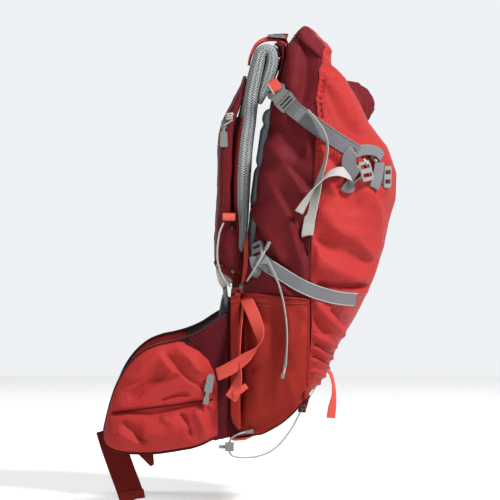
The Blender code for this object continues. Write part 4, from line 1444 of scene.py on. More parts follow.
# ---------------------------------------------------------------- straps on the bag
@dataclass
class CompressionStraps:
    """Webbing that draws the flanks in, with its tabs and hanging tails."""

    skin: Skin
    near: float = LEFT

    def build(self) -> None:
        """Build the upper and lower straps of both flanks."""
        for label, side in SIDES.items():
            self.build_upper(label, side)
            self.build_lower(label, side)
        self.build_front_group()
        self.build_foot_strap()

    def build_upper(self, label: str, side: float) -> None:
        """Tab, strap and tail of one upper buckle.

        Args:
            label: Name of the side.
            side: -1 for the wearer's left, 1 for the right.
        """
        low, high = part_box(f"upper_clip_{label}")
        bar = np.array([10.0, side * (abs(low.y + high.y) / 2 / MM + 1.0), -110.0])
        route = [(14, -112), (26, -121), (42, -133), (60, -146), (80, -159), (98, -170), (108, -176)]
        laid = self.skin.rest(route, side, 1.6, 20)
        laid = np.vstack([bar + np.array([-4, 0, 5]), bar + np.array([1, side * 1.5, 1]), laid[2:]])
        across = (0.62, 0.0, 0.78)
        strap_name = f"upper_webbing_{label}"
        strap(strap_name, laid, across, 24, GREY_WEB, "pack", (f"upper_strap_{label}",))
        self.edge_lines(strap_name, laid, across, 24, side, GREY_WEB)
        tab = [(-10, -84), (-13, -79), (-16, -74), (-19, -69)]
        y = side * (abs(low.y + high.y) / 2 / MM)
        flat = np.array([(x, y - side * 1.0 * k, z) for k, (x, z) in enumerate(tab)])
        strap(f"buckle_webbing_{label}", flat, (0.62, 0, 0.70), 16, RED_WEB, "pack", (f"buckle_tab_{label}",))
        hem = flat + np.array([-5.2, side * -0.2, -5.6])
        strap(f"buckle_tab_edge_{label}", hem, (0.62, 0, 0.70), 1.8, PALE_WEB, "pack", thickness=2.3)
        self.build_upper_tail(label, side, laid)

    def build_upper_tail(self, label: str, side: float, laid: Array) -> None:
        """Free end that leaves the upper strap, turns on edge and hangs down.

        Args:
            label: Name of the side.
            side: -1 for the wearer's left, 1 for the right.
            laid: Points of the strap it belongs to, in millimetres.
        """
        y = side * (np.abs(laid[4:9, 1]).max() + 3.5)
        route = [(34, y + side * 6, -113), (44, y + side * 7, -124), (56, y + side * 8, -141),
                 (63, y + side * 9, -160),
                 (62, y + side * 9, -182), (53, y + side * 8, -212), (44, y + side * 6, -246),
                 (37, y + side * 4, -276), (34, y + side * 3, -296)]
        edge = (0.10, 1.0 * side, 0.15)
        ways = [edge, edge, edge, edge, (0.16, 0.97 * side, 0.0), (0.42, 0.8 * side, 0.1),
                (0.78, 0.5 * side, 0.25), (0.93, 0.25 * side, 0.25), (0.95, 0.1 * side, 0.28)]
        hung_strap(f"upper_tail_{label}", route, ways, 17, PALE_WEB)
        fold = [(36.5, y + side * 4.6, -279), (34, y + side * 3.6, -298), (33.4, y + side * 5.4, -298),
                (36.2, y + side * 6.2, -281)]
        strap(f"upper_tail_hem_{label}", fold, (0.95, 0.1 * side, 0.28), 17, PALE_WEB, step=1.5)

    def edge_lines(self, name: str, laid: Array, across: Sequence[float], width: float, side: float,
                   finish: Cloth) -> None:
        """Woven edges of a wide strap.

        Args:
            name: Name of the strap.
            laid: Points of the strap it belongs to, in millimetres.
            across: Direction of the strap's width.
            width: Width in millimetres.
            side: -1 for the wearer's left, 1 for the right.
            finish: Its finish.
        """
        way = unit(np.array(across, float))
        for label, sign in (("upper", 1.0), ("lower", -1.0)):
            line = laid + way * sign * (width / 2 - 1.3) + np.array([0, side * 0.75, 0])
            path = smooth_line(line * MM, 0.003)
            round_cord(f"{name}_{label}_edge", path, 0.0007, finish, "pack")

    def build_lower(self, label: str, side: float) -> None:
        """Strap, tail and its small toggle at one lower adjuster.

        Args:
            label: Name of the side.
            side: -1 for the wearer's left, 1 for the right.
        """
        low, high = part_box(f"lower_buckle_{label}")
        bar_y = side * (abs(low.y) if side < 0 else abs(high.y)) / MM
        route = [(-30, -340), (-16, -348), (0, -358), (20, -370), (44, -381), (70, -389), (92, -393),
                 (106, -394)]
        laid = self.skin.rest(route, side, 1.6, 18)
        laid[0] = (-38, bar_y - side * 3, -332)
        laid[1] = (-32, bar_y - side * 1.5, -337)
        ways = [(0.5, 0, 0.86)] * 3 + [(0.32, 0, 0.95)] * (len(laid) - 3)
        strap(f"lower_webbing_{label}", laid, np.array(ways), 21, GREY_WEB, "pack", (f"lower_strap_{label}",))
        self.edge_lines(f"lower_webbing_{label}", laid[3:], (0.35, 0, 0.93), 21, side, PALE_WEB)
        under = [(-46, bar_y - side * 10, -330), (-44, bar_y - side * 6, -342), (-40, bar_y - side * 4, -352),
                 (-45, bar_y - side * 8, -360)]
        strap(f"lower_anchor_{label}", under, (0.9, 0, 0.3), 12, GREY_WEB)
        tail_y = bar_y + side * 4
        tail = [(-32, bar_y, -336), (-22, tail_y, -346), (-10, tail_y + side * 4, -368),
                (-2, tail_y + side * 5, -396),
                (3, tail_y + side * 6, -432), (3, tail_y + side * 5, -464), (1, tail_y + side * 4, -492)]
        ways = [(0.5, 0.3 * side, 0.8), (0.3, 0.8 * side, 0.4), (0.12, 1.0 * side, 0.1),
                (0.1, 1.0 * side, 0.05),
                (0.1, 1.0 * side, 0), (0.12, 1.0 * side, 0), (0.2, 1.0 * side, 0)]
        hung_strap(f"lower_tail_{label}", tail, ways, 17, PALE_WEB)
        end = [(1, tail_y + side * 4, -488), (0, tail_y + side * 3.5, -498), (-2, tail_y + side * 3, -505)]
        round_cord(f"lower_tail_loop_{label}", smooth_line(np.array(end) * MM, 0.0015), 0.0017, CORD, "pack")
        tip = np.array([(-2, tail_y + side * 3, -502), (-3, tail_y + side * 3, -510)]) * MM
        round_cord(f"lower_tail_tip_{label}", smooth_line(tip, 0.001), 0.003, GREY_PLASTIC, "pack", sides=14)

    def build_front_group(self) -> None:
        """Strap ends that meet on the front: folded bridge, both adjusters' webbing and a curling tail."""
        side = self.near
        for name, route, lift, clear, across, width, nodes in (
                ("front_fold", ((104, -173), (97, -180), (95, -192), (100, -203), (108, -209)), 4.0, 12,
                 (1.0, 0, 0.3), 21, ()),
                ("front_bridge", ((106, -176), (116, -172), (128, -172), (140, -176), (146, -184)), 5.0, 10,
                 (-0.1, 0.0, 1.0), 16, ("front_strap",)),
                ("front_drop", ((142, -190), (140, -204), (137, -218), (133, -229)), 3.0, 8,
                 (1.0, 0.3, 0.0), 15, ()),
                ("front_under", ((112, -212), (104, -220), (96, -226), (88, -222)), 2.6, 10,
                 (0.7, 0, 0.7), 20, ())):
            strap(name, self.skin.rest(route, side, lift, clear), across, width, GREY_WEB, "pack", nodes)
        y = side * self.skin.depth(0.092, -0.206, side) / MM + side * 4
        tail = [(104, y + 4, -212), (92, y, -206), (78, y - 8, -204), (62, y - 12, -210), (46, y - 15, -226),
                (32, y - 16, -246), (21, y - 15, -264)]
        ways = [(0.2, 0.2, 0.9), (0.2, 0.5, 0.8), (0.3, 0.75, 0.6), (0.4, 0.75, 0.5), (0.5, 0.5, 0.6),
                (0.6, 0.3, 0.6), (0.7, 0.2, 0.6)]
        hung_strap("front_tail_webbing", tail, ways, 17, PALE_WEB, "pack", ("front_tail",))
        for number, (x, z) in enumerate(((121, -190), (134, -186), (109, -199))):
            spot = self.skin.rest([(x - 3, z), (x + 3, z)], side, 3.5, 0).mean(axis=0)
            block = np.array([spot + np.array([-4, 0, 4]), spot + np.array([3, side * 2, -4])]) * MM
            round_cord(f"front_keeper_{number}", smooth_line(block, 0.001), 0.003, PALE_PLASTIC, "pack",
                       sides=14)

    def build_foot_strap(self) -> None:
        """Loop of red webbing under the foot of the front."""
        route = [(58, -20, -500), (64, -20, -503), (71, -20, -512), (75, -20, -528), (75.5, -20, -545),
                 (73, -20, -562), (71, -20, -578)]
        ways = [(0.5, 1, 0.3), (0.4, 1, 0.3), (0.35, 1, 0), (0.3, 1, 0), (0.5, 0.9, 0), (0.9, 0.5, 0),
                (1, 0.35, 0)]
        hung_strap("foot_webbing", route, ways, 14, RED_WEB, "pack", ("foot_strap",), step=2.0)


@dataclass
class SidePocket:
    """Stretch pocket that lies empty against the foot of one flank."""

    skin: Skin
    along: int = 54
    down: int = 96
    columns: tuple = ((-80, -392, -566), (-76, -390, -578), (-70, -388, -586), (-64, -387, -590),
                      (-57, -386, -593), (-46, -386, -596), (-34, -387, -595),
                      (-20, -388, -588), (-4, -390, -578), (12, -391, -564), (26, -392, -548),
                      (37, -394, -538))
    folds: tuple = (Fold(((-12, -386), (-12, -448), (-21, -501), (-27, -575)), 6, -4.5),
                    Fold(((-2, -462), (18, -453), (38, -436)), 8, 3.5),
                    Fold(((-54, -500), (-36, -498), (-18, -492)), 8, -3),
                    Fold(((14, -392), (26, -408), (38, -420)), 7, 2.5),
                    Fold(((-30, -426), (-38, -464), (-52, -494)), 9, 3),
                    Fold(((2, -392), (8, -441), (0, -484)), 8, 2.5),
                    Fold(((0, -500), (12, -530), (20, -560)), 10, 2))

    def build(self) -> None:
        """Build both pockets with their hems and stitches."""
        for label, side in SIDES.items():
            self.build_side(label, side)

    def build_side(self, label: str, side: float) -> None:
        """Build one pocket.

        Args:
            label: Name of the side.
            side: -1 for the wearer's left, 1 for the right.
        """
        table = np.array(self.columns, float)
        xs = np.linspace(table[0, 0], table[-1, 0], self.along)
        top = np.interp(xs, table[:, 0], table[:, 1])
        low = smooth_line(table[:, [0, 2]], 1.0)
        bottom = np.interp(xs, low[:, 0], low[:, 1])
        share = np.linspace(0, 1, self.down)[:, None]
        z = (top * (1 - share) + bottom * share) * MM
        x = np.broadcast_to(xs * MM, z.shape)
        depth = np.array([[self.skin.depth(a, b, side) for a, b in zip(*row)] for row in zip(x[::6], z[::6])])
        rows = np.arange(self.down)
        full = np.stack([np.interp(rows, rows[::6], depth[:, k]) for k in range(depth.shape[1])], axis=1)
        wrap = np.interp(x, (-0.080, -0.066, -0.056), (0.1235, 0.126, 0.0))
        full = np.maximum(full, wrap)
        grid = np.stack([x, side * full, z], axis=-1)
        from_end = np.minimum(np.arange(self.along), np.arange(self.along)[::-1]) / 10
        edge = np.minimum(np.minimum(share, 1 - share * 0.98) * 2, from_end)
        puff = 0.0018 + 0.0042 * eased(edge, 0, 1) * (1 - 0.4 * share)
        relief = folded(grid, self.folds) * eased(edge, 0, 0.5) + 0.001 * crumple(
            grid.reshape(-1, 3), 0.07, 23, 2).reshape(z.shape)
        hem = 0.0016 * eased(-z * 1000, 0, 1) * (1 - eased(share, 0.045, 0.06))
        grid[..., 1] += side * np.maximum(puff + relief + hem, 0.0012)
        pocket = grid_object(f"pocket_cloth_{label}", grid[:, ::-1] if side < 0 else grid)
        dress(add_shell(pocket, PANEL_CLOTH, 0.0), BRICK, "pack", f"side_pocket_{label}")
        out = np.array([0.0, side, 0.0])
        for number, row in enumerate((4, 7)):
            stitches(f"pocket_hem_stitches_{label}_{number}", grid[row, 2:-2] + out * 0.0009, PALE_THREAD,
                     "pack", out)
        round_cord(f"pocket_hem_roll_{label}", grid[0] + out * 0.0006, 0.0016, BRICK, "pack")
        stitches(f"pocket_side_stitches_{label}", grid[3:, -2] + out * 0.0008, THREAD, "pack", out, 0.0055,
                 0.0034, 0.0005)
        foot = grid[-1] + out * 0.0004
        round_cord(f"pocket_binding_{label}", foot, 0.0013, BINDING, "pack")


# ---------------------------------------------------------------- harness
STRAP_Y = 70.0
STRAP_LINE = ((-37, -104, 7), (-32, -88, 14), (-23, -62, 20), (-18, -42, 20), (-19, -28, 18), (-26, -23, 18),
              (-34, -28, 20), (-38, -40, 21), (-44, -66, 23), (-50, -96, 24), (-55.5, -126, 25),
              (-61, -165, 26),
              (-64, -205, 26), (-65.5, -245, 24), (-65, -280, 19), (-66, -310, 14), (-72, -336, 12),
              (-80, -362, 9))


@dataclass
class ShoulderStrap:
    """Padded shoulder strap in herringbone mesh, folded over its arch."""

    label: str
    side: float
    width: float = 62.0
    fill: float = 0.7

    def build(self) -> None:
        """Build the pad, its bound backing and the yoke behind the arch."""
        table = smooth_line(STRAP_LINE, 2.4)
        path = np.stack([table[:, 0], np.full(len(table), self.side * STRAP_Y), table[:, 1]], axis=1) * MM
        twist = np.clip(np.minimum((table[:, 1] + 345) / 60, (-90 - table[:, 1]) / 40), 0, 1) * 0.15
        across = np.stack([twist, np.full(len(table), self.side), 0 * twist], axis=1)
        rim = np.minimum(run_length(table), run_length(table)[::-1].max() - run_length(table))
        close = 0.55 + 0.45 * np.sqrt(np.clip(rim / 8, 0, 1))
        sections = np.stack([oval(self.width * MM, t * MM * c, 40, 3.4) for t, c in zip(table[:, 2], close)])
        pad = loft(f"strap_pad_{self.label}", path, across, sections)
        dress(pad, SPACER, "pack", f"shoulder_strap_{self.label}")
        self.build_backing(path, across, table)
        self.build_yoke()

    def build_backing(self, path: Array, across: Array, table: Array) -> None:
        """Bound backing of darker cloth on the strap's outer face.

        Args:
            path: Centre line of the strap, in metres.
            across: Direction of the width at each point.
            table: X, Z and thickness along the strap, in millimetres.
        """
        run = slice(len(table) * 46 // 100, len(table) * 88 // 100)
        tangent = unit(np.gradient(path, axis=0))
        out = -unit(np.cross(tangent, across)) * self.side
        out = out * np.sign(-out[:, :1])
        spots = path + out * (table[:, 2:] / 2 * MM - 0.001)
        ring = oval((self.width - 3) * MM, 0.005, 20, 4)
        backing = loft(f"strap_backing_{self.label}", spots[run], across[run], ring)
        dress(backing, DARK_WEB, "pack")

    def build_yoke(self) -> None:
        """Wide dark panel behind the arch."""
        y = self.side * STRAP_Y
        route = [(-3, y, -14), (-2, y, -32), (-5, y, -52), (-12, y, -74), (-20, y, -94)]
        strap(f"yoke_{self.label}", route, (0, 1, 0), 56, DARK_WEB, thickness=3.2)


@dataclass
class StrapPocket:
    """Zipped pocket of burgundy cloth on the outer face of the left strap."""

    line: tuple = ((-58, -62, 3, 34), (-63, -80, 8, 42), (-72, -104, 14, 48), (-82, -130, 18, 52),
                   (-87, -160, 20, 52), (-88, -200, 20, 52), (-89, -245, 21, 52), (-91, -290, 24, 52),
                   (-92, -322, 24, 50), (-92, -340, 18, 44), (-90, -348, 10, 34))
    fill: float = 0.45

    def build(self) -> None:
        """Build the pocket, its zip, its binding and its hem."""
        table = smooth_line(self.line, 2.5)
        path = np.stack([table[:, 0], np.full(len(table), -STRAP_Y - 1.0), table[:, 1]], axis=1) * MM
        sections = np.stack([oval(w * MM, t * MM, 56, 3.6) for t, w in table[:, 2:]])
        pocket = loft("strap_pocket_cloth", path, np.array([0.12, -1.0, 0]), sections)
        spots, normals = vertex_array(pocket.data), vertex_array(pocket.data, "normal")
        relief = crumple(spots * np.array([1, 1, 0.6]), 0.035, 51) * 0.0014
        gather = (np.sin(spots[:, 1] * 700 + spots[:, 0] * 300) * 0.0014
                  * (1 - eased(spots[:, 2], -0.345, -0.315)))
        spots = (spots + normals * (relief + gather)[:, None])[None]
        off_path = np.where(spots[..., 2] > -0.275, spots[..., 0] + 0.088, 1.0)
        spots = below_path(spots, "pocket_zip_pull", np.abs(off_path) * 2.0, LEFT)
        pocket.data.vertices.foreach_set("co", spots.ravel())
        dress(pocket, BURGUNDY, "pack", "strap_pocket")
        self.build_trim()

    def build_trim(self) -> None:
        """Zip, bindings, bead band, end tab and snap."""
        y = -STRAP_Y - 26.5
        zip_line = smooth_line([(-90, y, -134), (-91, y - 0.2, -180), (-92, y - 0.2, -240), (-94, y, -262)],
                               2) * MM
        round_cord("pocket_zip_tape", zip_line, 0.0013, BURGUNDY, "pack", sides=8)
        stitches("pocket_zip_teeth", zip_line + np.array([0, -0.0012, 0]), DARK_WEB, "pack",
                 np.array([0.0, -1.0, 0.0]), 0.0026, 0.0016, 0.0005)
        edge = [(-58, y + 2, -294), (-57, y - 1, -315), (-57, y - 2, -340), (-60, y, -366),
                (-64, y + 4, -376)]
        strap("pocket_side_binding", edge, (0.9, 0.1, 0.2), 7, RED_WEB)
        self.build_pouch(y)
        hem = [(-103, y + 12, -338), (-99, y - 1, -345), (-90, y - 4, -352), (-78, y - 4, -360),
               (-66, y, -366)]
        strap("pocket_hem", hem, (0.25, 0, 1.0), 8, DARK_WEB, thickness=2.6)
        tab = [(-92, y - 0.5, -344), (-92, y - 1, -354), (-89, y, -366), (-84, y + 2, -374)]
        strap("strap_end_tab", tab, (1, 0, 0.25), 19, PALE_WEB)
        snap = np.array([(-62, -97, -377), (-62, -101, -377)]) * MM
        round_cord("strap_snap", smooth_line(snap, 0.001), 0.005, GREY_PLASTIC, "pack", sides=20)
        band = np.array([(-82, -101, -272), (-82, -97.5, -272)]) * MM
        round_cord("bead_band", smooth_line(band, 0.001), 0.0045, DARK_WEB, "pack", sides=12)
        self.build_knot()

    def build_pouch(self, y: float) -> None:
        """Loose cloth that bags out at the pocket's foot.

        Args:
            y: Outer face of the pocket, in millimetres.
        """
        rows = smooth_line([(-290, -97, -64, 1), (-306, -99.5, -60, 5), (-322, -100, -58, 9),
                            (-338, -98, -57, 10),
                            (-352, -94, -58, 7), (-364, -86, -60, 3), (-373, -76, -64, 1)], 2.0)
        share = np.linspace(0, 1, 34)
        grid = np.stack([np.stack([low + (high - low) * share,
                                   y + 8 - (6 + puff) * np.sin(math.pi * share) ** 0.55,
                                   z + 2.4 * np.sin(share * 17) * eased(-z, 335, 373)], axis=1)
                         for z, low, high, puff in rows]) * MM
        relief = crumple(grid.reshape(-1, 3), 0.024, 57).reshape(grid.shape[:2]) * 0.0022
        grid[..., 1] -= relief * np.sin(math.pi * share)
        pouch = settle(add_shell(grid_object("strap_pouch_cloth", grid), PANEL_CLOTH, 0.0))
        dress(pouch, BURGUNDY, "pack")

    def build_knot(self) -> None:
        """Knotted cord on the pocket's slider."""
        turn = np.linspace(0, 6 * math.pi, 120)
        spiral = np.stack([-82 + 4.5 * np.cos(turn), -104 + 2.4 * np.sin(turn), -128 + turn * 0.55], axis=1)
        lead = [(-90, -102, -136), (-87, -103.5, -132)]
        line = np.vstack([lead, spiral, [(-79, -104, -114), (-76, -103.5, -120), (-78, -103.5, -126)]]) * MM
        round_cord("pocket_zip_knot", smooth_line(line[::3], 0.001), 0.0013, CORD, "pocket_zip")


@dataclass
class LoadLifter:
    """Webbing over the arch of one strap, with its folded end."""

    label: str
    side: float

    def build(self) -> None:
        """Build the webbing and its end."""
        y = self.side * 54
        route = [(-53, y, -46), (-50, y, -32), (-43, y, -17), (-33, y, -8.4), (-21, y, -6), (-8, y, -7),
                 (5, y, -12)]
        strap(f"lifter_webbing_{self.label}", route, (0.10, 1, -0.28 * self.side), 20, RED_WEB, "pack",
              (f"load_lifter_{self.label}",))
        low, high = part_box(f"lifter_buckle_{self.label}")
        top = high.z / MM + 1.2
        over = [(-25, y, top - 5), (-16, y, top - 1.4), (-6, y, top - 1.6), (3, y, top - 5)]
        strap(f"lifter_fold_{self.label}", over, (0, 1, 0), 19, GREY_WEB)
        end = [(0, y, -6), (4, y, -10), (7, y, -18), (6, y, -26)]
        strap(f"lifter_end_{self.label}", end, (0, 1, 0), 20, DARK_WEB)
        gusset = [(-14, y, -14), (-8, y, -20), (-4, y, -28)]
        strap(f"lifter_gusset_{self.label}", gusset, (0.5, 1, 0), 16, PALE_WEB)


@dataclass
class StrapAdjuster:
    """Red webbing that leaves one adjuster, loops down the flank and ends free."""

    label: str
    side: float

    def build(self) -> None:
        """Build the loop, the hanging end and the grey webbing below the adjuster."""
        s = self.side
        loop = [(-78, 80 * s, -388), (-68, 92 * s, -386), (-60, 118 * s, -390), (-52, 146 * s, -402),
                (-44, 157 * s, -420), (-38, 160 * s, -438), (-37, 160 * s, -454), (-43, 160 * s, -466),
                (-56, 160 * s, -478), (-74, 158 * s, -491), (-92, 153 * s, -501), (-100, 150 * s, -504)]
        ways = [(0.2, 0, 1), (0.3, 0.1, 1), (0.7, 0.1 * s, 0.55), (0.85, 0.15 * s, 0.5),
                (0.85, 0.2 * s, 0.35),
                (0.8, 0.45 * s, 0.2), (0.35, 0.9 * s, 0.3), (0.35, 0.75 * s, 0.7), (0.35, 0.4 * s, 0.9),
                (0.4, 0.2 * s, 0.9), (0.45, 0.1 * s, 0.9), (0.45, 0.1 * s, 0.9)]
        hung_strap(f"adjuster_loop_{self.label}", loop, ways, 19, RED_WEB, "pack",
                   (f"adjust_strap_{self.label}",))
        end = [(-78, 82 * s, -392), (-68, 104 * s, -396), (-63, 128 * s, -410), (-65, 146 * s, -440),
               (-67, 151 * s, -480), (-68, 153 * s, -508), (-74, 155 * s, -530), (-80, 155 * s, -540)]
        ways = [(0.2, 0, 1), (0.3, 0.6 * s, 0.8), (0.25, 0.95 * s, 0.4), (0.1, 1.0 * s, 0),
                (0.12, 1.0 * s, 0),
                (0.5, 0.85 * s, 0), (0.9, 0.4 * s, -0.2), (0.95, 0.2 * s, -0.3)]
        hung_strap(f"adjuster_end_{self.label}", end, ways, 19, RED_WEB)
        flap = [(-76, 157 * s, -534), (-66, 158.5 * s, -528), (-56, 158 * s, -520)]
        strap(f"adjuster_flap_{self.label}", flap, (0.5, 0, 0.85), 9, RED_WEB)
        under = [(-86, 78 * s, -398), (-89, 84 * s, -412), (-91, 92 * s, -428), (-92, 100 * s, -446)]
        strap(f"adjuster_base_{self.label}", under, (0.8, -0.5 * s, 0.2), 16, GREY_WEB)
        upper = [(-80, 76 * s, -352), (-84, 77 * s, -364), (-88, 78 * s, -376)]
        strap(f"adjuster_lead_{self.label}", upper, (0, 1, 0), 20, GREY_WEB)


@dataclass
class BackPadding:
    """Meshed back pad, navy lumbar pad and the webbing loop to lift the pack by."""

    form: BagForm = FORM
    fill: float = 0.5

    def build(self) -> None:
        """Build both pads, the loop and the chest strap."""
        self.build_pad("back_padding", 0.091, (-0.353, -0.111), 0.0100, BACK_MESH, "back_pad", 3)
        self.build_pad("lumbar_padding", 0.096, (-0.568, -0.380), 0.0135, NAVY, "lumbar_pad", 2)
        half = [(-7, 24, -34), (-5, 23, -20), (-2.5, 17, -7), (-0.5, 9, -0.5)]
        route = [(x, -y, z) for x, y, z in half] + [(0, 0, 1)] + [(x, y, z) for x, y, z in half[::-1]]
        strap("haul_webbing", route, (1, 0, 0), 14, DARK_WEB, "pack", ("haul_loop",), thickness=2.0)
        self.build_chest_strap()

    def build_pad(self, name: str, half: float, span: tuple, thick: float, finish: Cloth, node: str,
                  channels: int) -> None:
        """Build one quilted pad.

        Args:
            name: Name of the piece.
            half: Half of its width in metres.
            span: Its lowest and highest points.
            thick: How far it stands off the bag.
            finish: Its finish.
            node: The CAD node that it replaces.
            channels: Number of upright channels pressed into it.
        """
        y = np.linspace(-half, half, 90)[None, :]
        z = np.linspace(span[0], span[1], 110)[:, None]
        back, seam, _front, width = self.form.profile(z)
        share = np.minimum(np.abs(y) / width, 0.98)
        base = seam - (seam - back) * (1 - share ** 5) ** 0.2 - 0.0006
        edge = np.minimum(half - np.abs(y), np.minimum(z - span[0], span[1] - z))
        dome = np.sqrt(np.clip(edge / 0.012, 0, 1) * (2 - np.clip(edge / 0.012, 0, 1)))
        groove = sum(np.exp(-((y - half * (2 * (k + 1) / (channels + 1) - 1)) / 0.006) ** 2)
                     for k in range(channels))
        cross = np.exp(-((np.mod(z - span[0], 0.062) - 0.031) / 0.005) ** 2)
        lift = thick * dome * (1 - 0.5 * np.maximum(groove, 0.7 * cross))
        grid = np.stack([base - lift, y + 0 * z, z + 0 * y], axis=-1)[:, ::-1]
        pad = grid_object(name, grid)
        dress(add_shell(pad, 0.0015), finish, "pack", node)

    def build_chest_strap(self) -> None:
        """Chest webbing on both straps, up to its buckle."""
        right = [(-76, 14, -190), (-77, 34, -190), (-78, 52, -190), (-78, 68, -190)]
        strap("chest_webbing_right", right, (0, 0, 1), 20, DARK_WEB, "pack", ("sternum_strap",))
        left = [(-75, -36, -190), (-76, -48, -190), (-78, -60, -190), (-78, -70, -190)]
        strap("chest_webbing_left", left, (0, 0, 1), 20, DARK_WEB)


@dataclass
class HipWing:
    """Padded hip wing with a stuffed, zipped pocket over all of its outer face."""

    label: str
    side: float
    stations: tuple = ((-84, -415, -592, 110), (-105, -428, -600, 122), (-130, -444, -611, 130),
                       (-160, -455, -617, 130), (-187, -461, -621, 130), (-211, -472, -622, 130),
                       (-234, -495, -621, 130), (-250, -524, -618, 128), (-262, -562, -612, 122),
                       (-268, -590, -603, 116))
    folds: tuple = (Fold(((-262, -566), (-232, -560), (-196, -563), (-168, -557), (-140, -551),
                          (-108, -541)), 4, -6),
                    Fold(((-250, -552), (-214, -548), (-172, -546), (-132, -540)), 5, 4),
                    Fold(((-196, -462), (-172, -492), (-146, -518), (-110, -545)), 6, 7),
                    Fold(((-182, -466), (-158, -496), (-134, -518), (-112, -530)), 6, -5),
                    Fold(((-162, -460), (-140, -482), (-120, -508)), 6, 4),
                    Fold(((-238, -528), (-212, -498), (-184, -470)), 8, 5),
                    Fold(((-232, -548), (-204, -520), (-172, -500)), 6, -6),
                    Fold(((-214, -546), (-182, -530), (-150, -520)), 5, 5),
                    Fold(((-190, -548), (-166, -538), (-136, -534)), 4, -4),
                    Fold(((-220, -590), (-176, -590), (-132, -578)), 12, 5),
                    Fold(((-116, -550), (-106, -574), (-102, -604)), 6, -6),
                    Fold(((-134, -556), (-122, -578), (-118, -604)), 5, 4),
                    Fold(((-244, -572), (-222, -590), (-200, -608)), 5, -5),
                    Fold(((-158, -560), (-144, -578), (-138, -602)), 4, -5),
                    Fold(((-184, -567), (-170, -576), (-160, -592)), 4, 4),
                    Fold(((-250, -590), (-232, -600), (-214, -612)), 5, 4))
    fill: float = 0.55
    zip_root: tuple = (-116, -543)
    zip_slope: float = 0.134

    def build(self) -> None:
        """Build the pad, its pocket, the ribbed root, the piping and the zip."""
        self.body = f"wing_{self.label}"
        self.table = smooth_line(self.stations, 3.0)
        self.build_pad()
        self.build_cover()
        self.build_root()
        self.build_piping()
        self.build_zip()

    def build_pad(self) -> None:
        """Navy foam pad of the wing."""
        x, top, low, y = self.table.T
        path = np.stack([x, self.side * y, (top + low) / 2], axis=1) * MM
        rim = np.minimum(run_length(path), run_length(path)[-1] - run_length(path))
        close = np.sqrt(np.clip(rim / 0.008, 0.06, 1))
        sections = np.stack([oval(height * MM, 0.014 * c, 40, 6) for height, c in zip(top - low, close)])
        upright, outward = np.array([0, 0, -1.0]), np.array([0, -1.0, 0])
        grid = path[:, None] + upright * sections[:, :, :1] + outward * sections[:, :, 1:]
        pad = grid_object(f"wing_pad_{self.label}", grid, closed=True, caps=True)
        dress(pad, NAVY, self.body, f"wing_{self.label}")

    def zip_height(self, x: Array) -> Array:
        """Height of the zip at x, both in millimetres."""
        return self.zip_root[1] + (x - self.zip_root[0]) * self.zip_slope

    def build_cover(self) -> None:
        """Bright stuffed pocket, drawn in along its zip."""
        start = int(np.searchsorted(-self.table[:, 0], 97))
        x, top, low, y = self.table[start:].T
        share = np.linspace(0, 1, 84)[:, None]
        rounded = np.interp(-x, (96, 99, 105, 114, 126, 141, 160), (-560, -523, -498, -480, -468, -461, -455))
        top = np.minimum(top - 1.0, rounded)
        z = top * (1 - share) + (low + 1.0) * share
        across = np.arange(len(x))[None, :]
        edge = np.minimum(np.minimum(share, 1 - share) * (top - low) / 30,
                          np.minimum(across * 3.0 / 26, across[:, ::-1] * 3.0 / 30))
        puff = 12.5 * np.sqrt(np.clip(edge, 0, 1) * (2 - np.clip(edge, 0, 1)))
        pull_in = 5.5 * np.exp(-((z - self.zip_height(x)) / 7.0) ** 2) * np.clip(edge, 0, 1)
        grid = (np.stack([np.broadcast_to(x, z.shape), self.side * (y + 6.5 + puff - pull_in), z], axis=-1)
                * MM)
        relief = folded(grid, self.folds) * np.clip(edge * 1.5, 0, 1)
        loose = crumple(grid.reshape(-1, 3), 0.05, 61).reshape(z.shape) * 0.0014 * np.clip(edge * 2, 0, 1)
        grid[..., 1] += self.side * np.maximum(relief + loose, -puff * MM * 0.9)
        slider = f"hip_zip_pull_{self.label}"
        low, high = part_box(slider)
        middle = (low.z + high.z) / 2 + (x * MM - (low.x + high.x) / 2) * self.zip_slope
        grid = below_path(grid, slider, z * MM - middle, self.side)
        self.cover = grid
        rim = self.table[start:, [1, 3]].T
        over = [np.stack([x, self.side * (rim[1] + dy), top + dz], axis=1) * MM
                for dy, dz in ((-8.5, -9.0), (-8.8, -2.0), (-5.0, 2.2), (2.0, 3.2))]
        grid = np.concatenate([np.stack(over), grid])
        cloth = grid_object(f"hip_pocket_cloth_{self.label}", grid if self.side < 0 else grid[:, ::-1])
        dress(add_shell(cloth, PANEL_CLOTH, 0.0), BRIGHT_RED, self.body, f"hip_pocket_{self.label}")

    def build_root(self) -> None:
        """Ribbed burgundy panel between the pack and the pocket."""
        s = self.side
        columns = ((-64, -408, -598, 113), (-74, -411, -600, 115), (-84, -414, -600, 119.5),
                   (-96, -422, -602, 126),
                   (-108, -430, -600, 132), (-120, -440, -560, 137.2), (-131, -445.5, -510, 138.6),
                   (-143, -449.5, -490, 139.4))
        table = smooth_line(columns, 2.5)
        share = np.linspace(0, 1, 60)[:, None]
        z = table[:, 1] * (1 - share) + table[:, 2] * share
        bow = 2.5 * np.sin(np.pi * share)
        ribs = 0.7 * np.sin((z + 0.8 * table[:, 0]) * 2 * math.pi / 7.0)
        grid = (np.stack([np.broadcast_to(table[:, 0], z.shape), s * (table[:, 3] + bow + ribs), z], axis=-1)
                * MM)
        root = settle(add_shell(grid_object(f"wing_root_{self.label}", grid), 0.0016, 0.0))
        hang_between(root, RIBBED, ("pack", self.body))

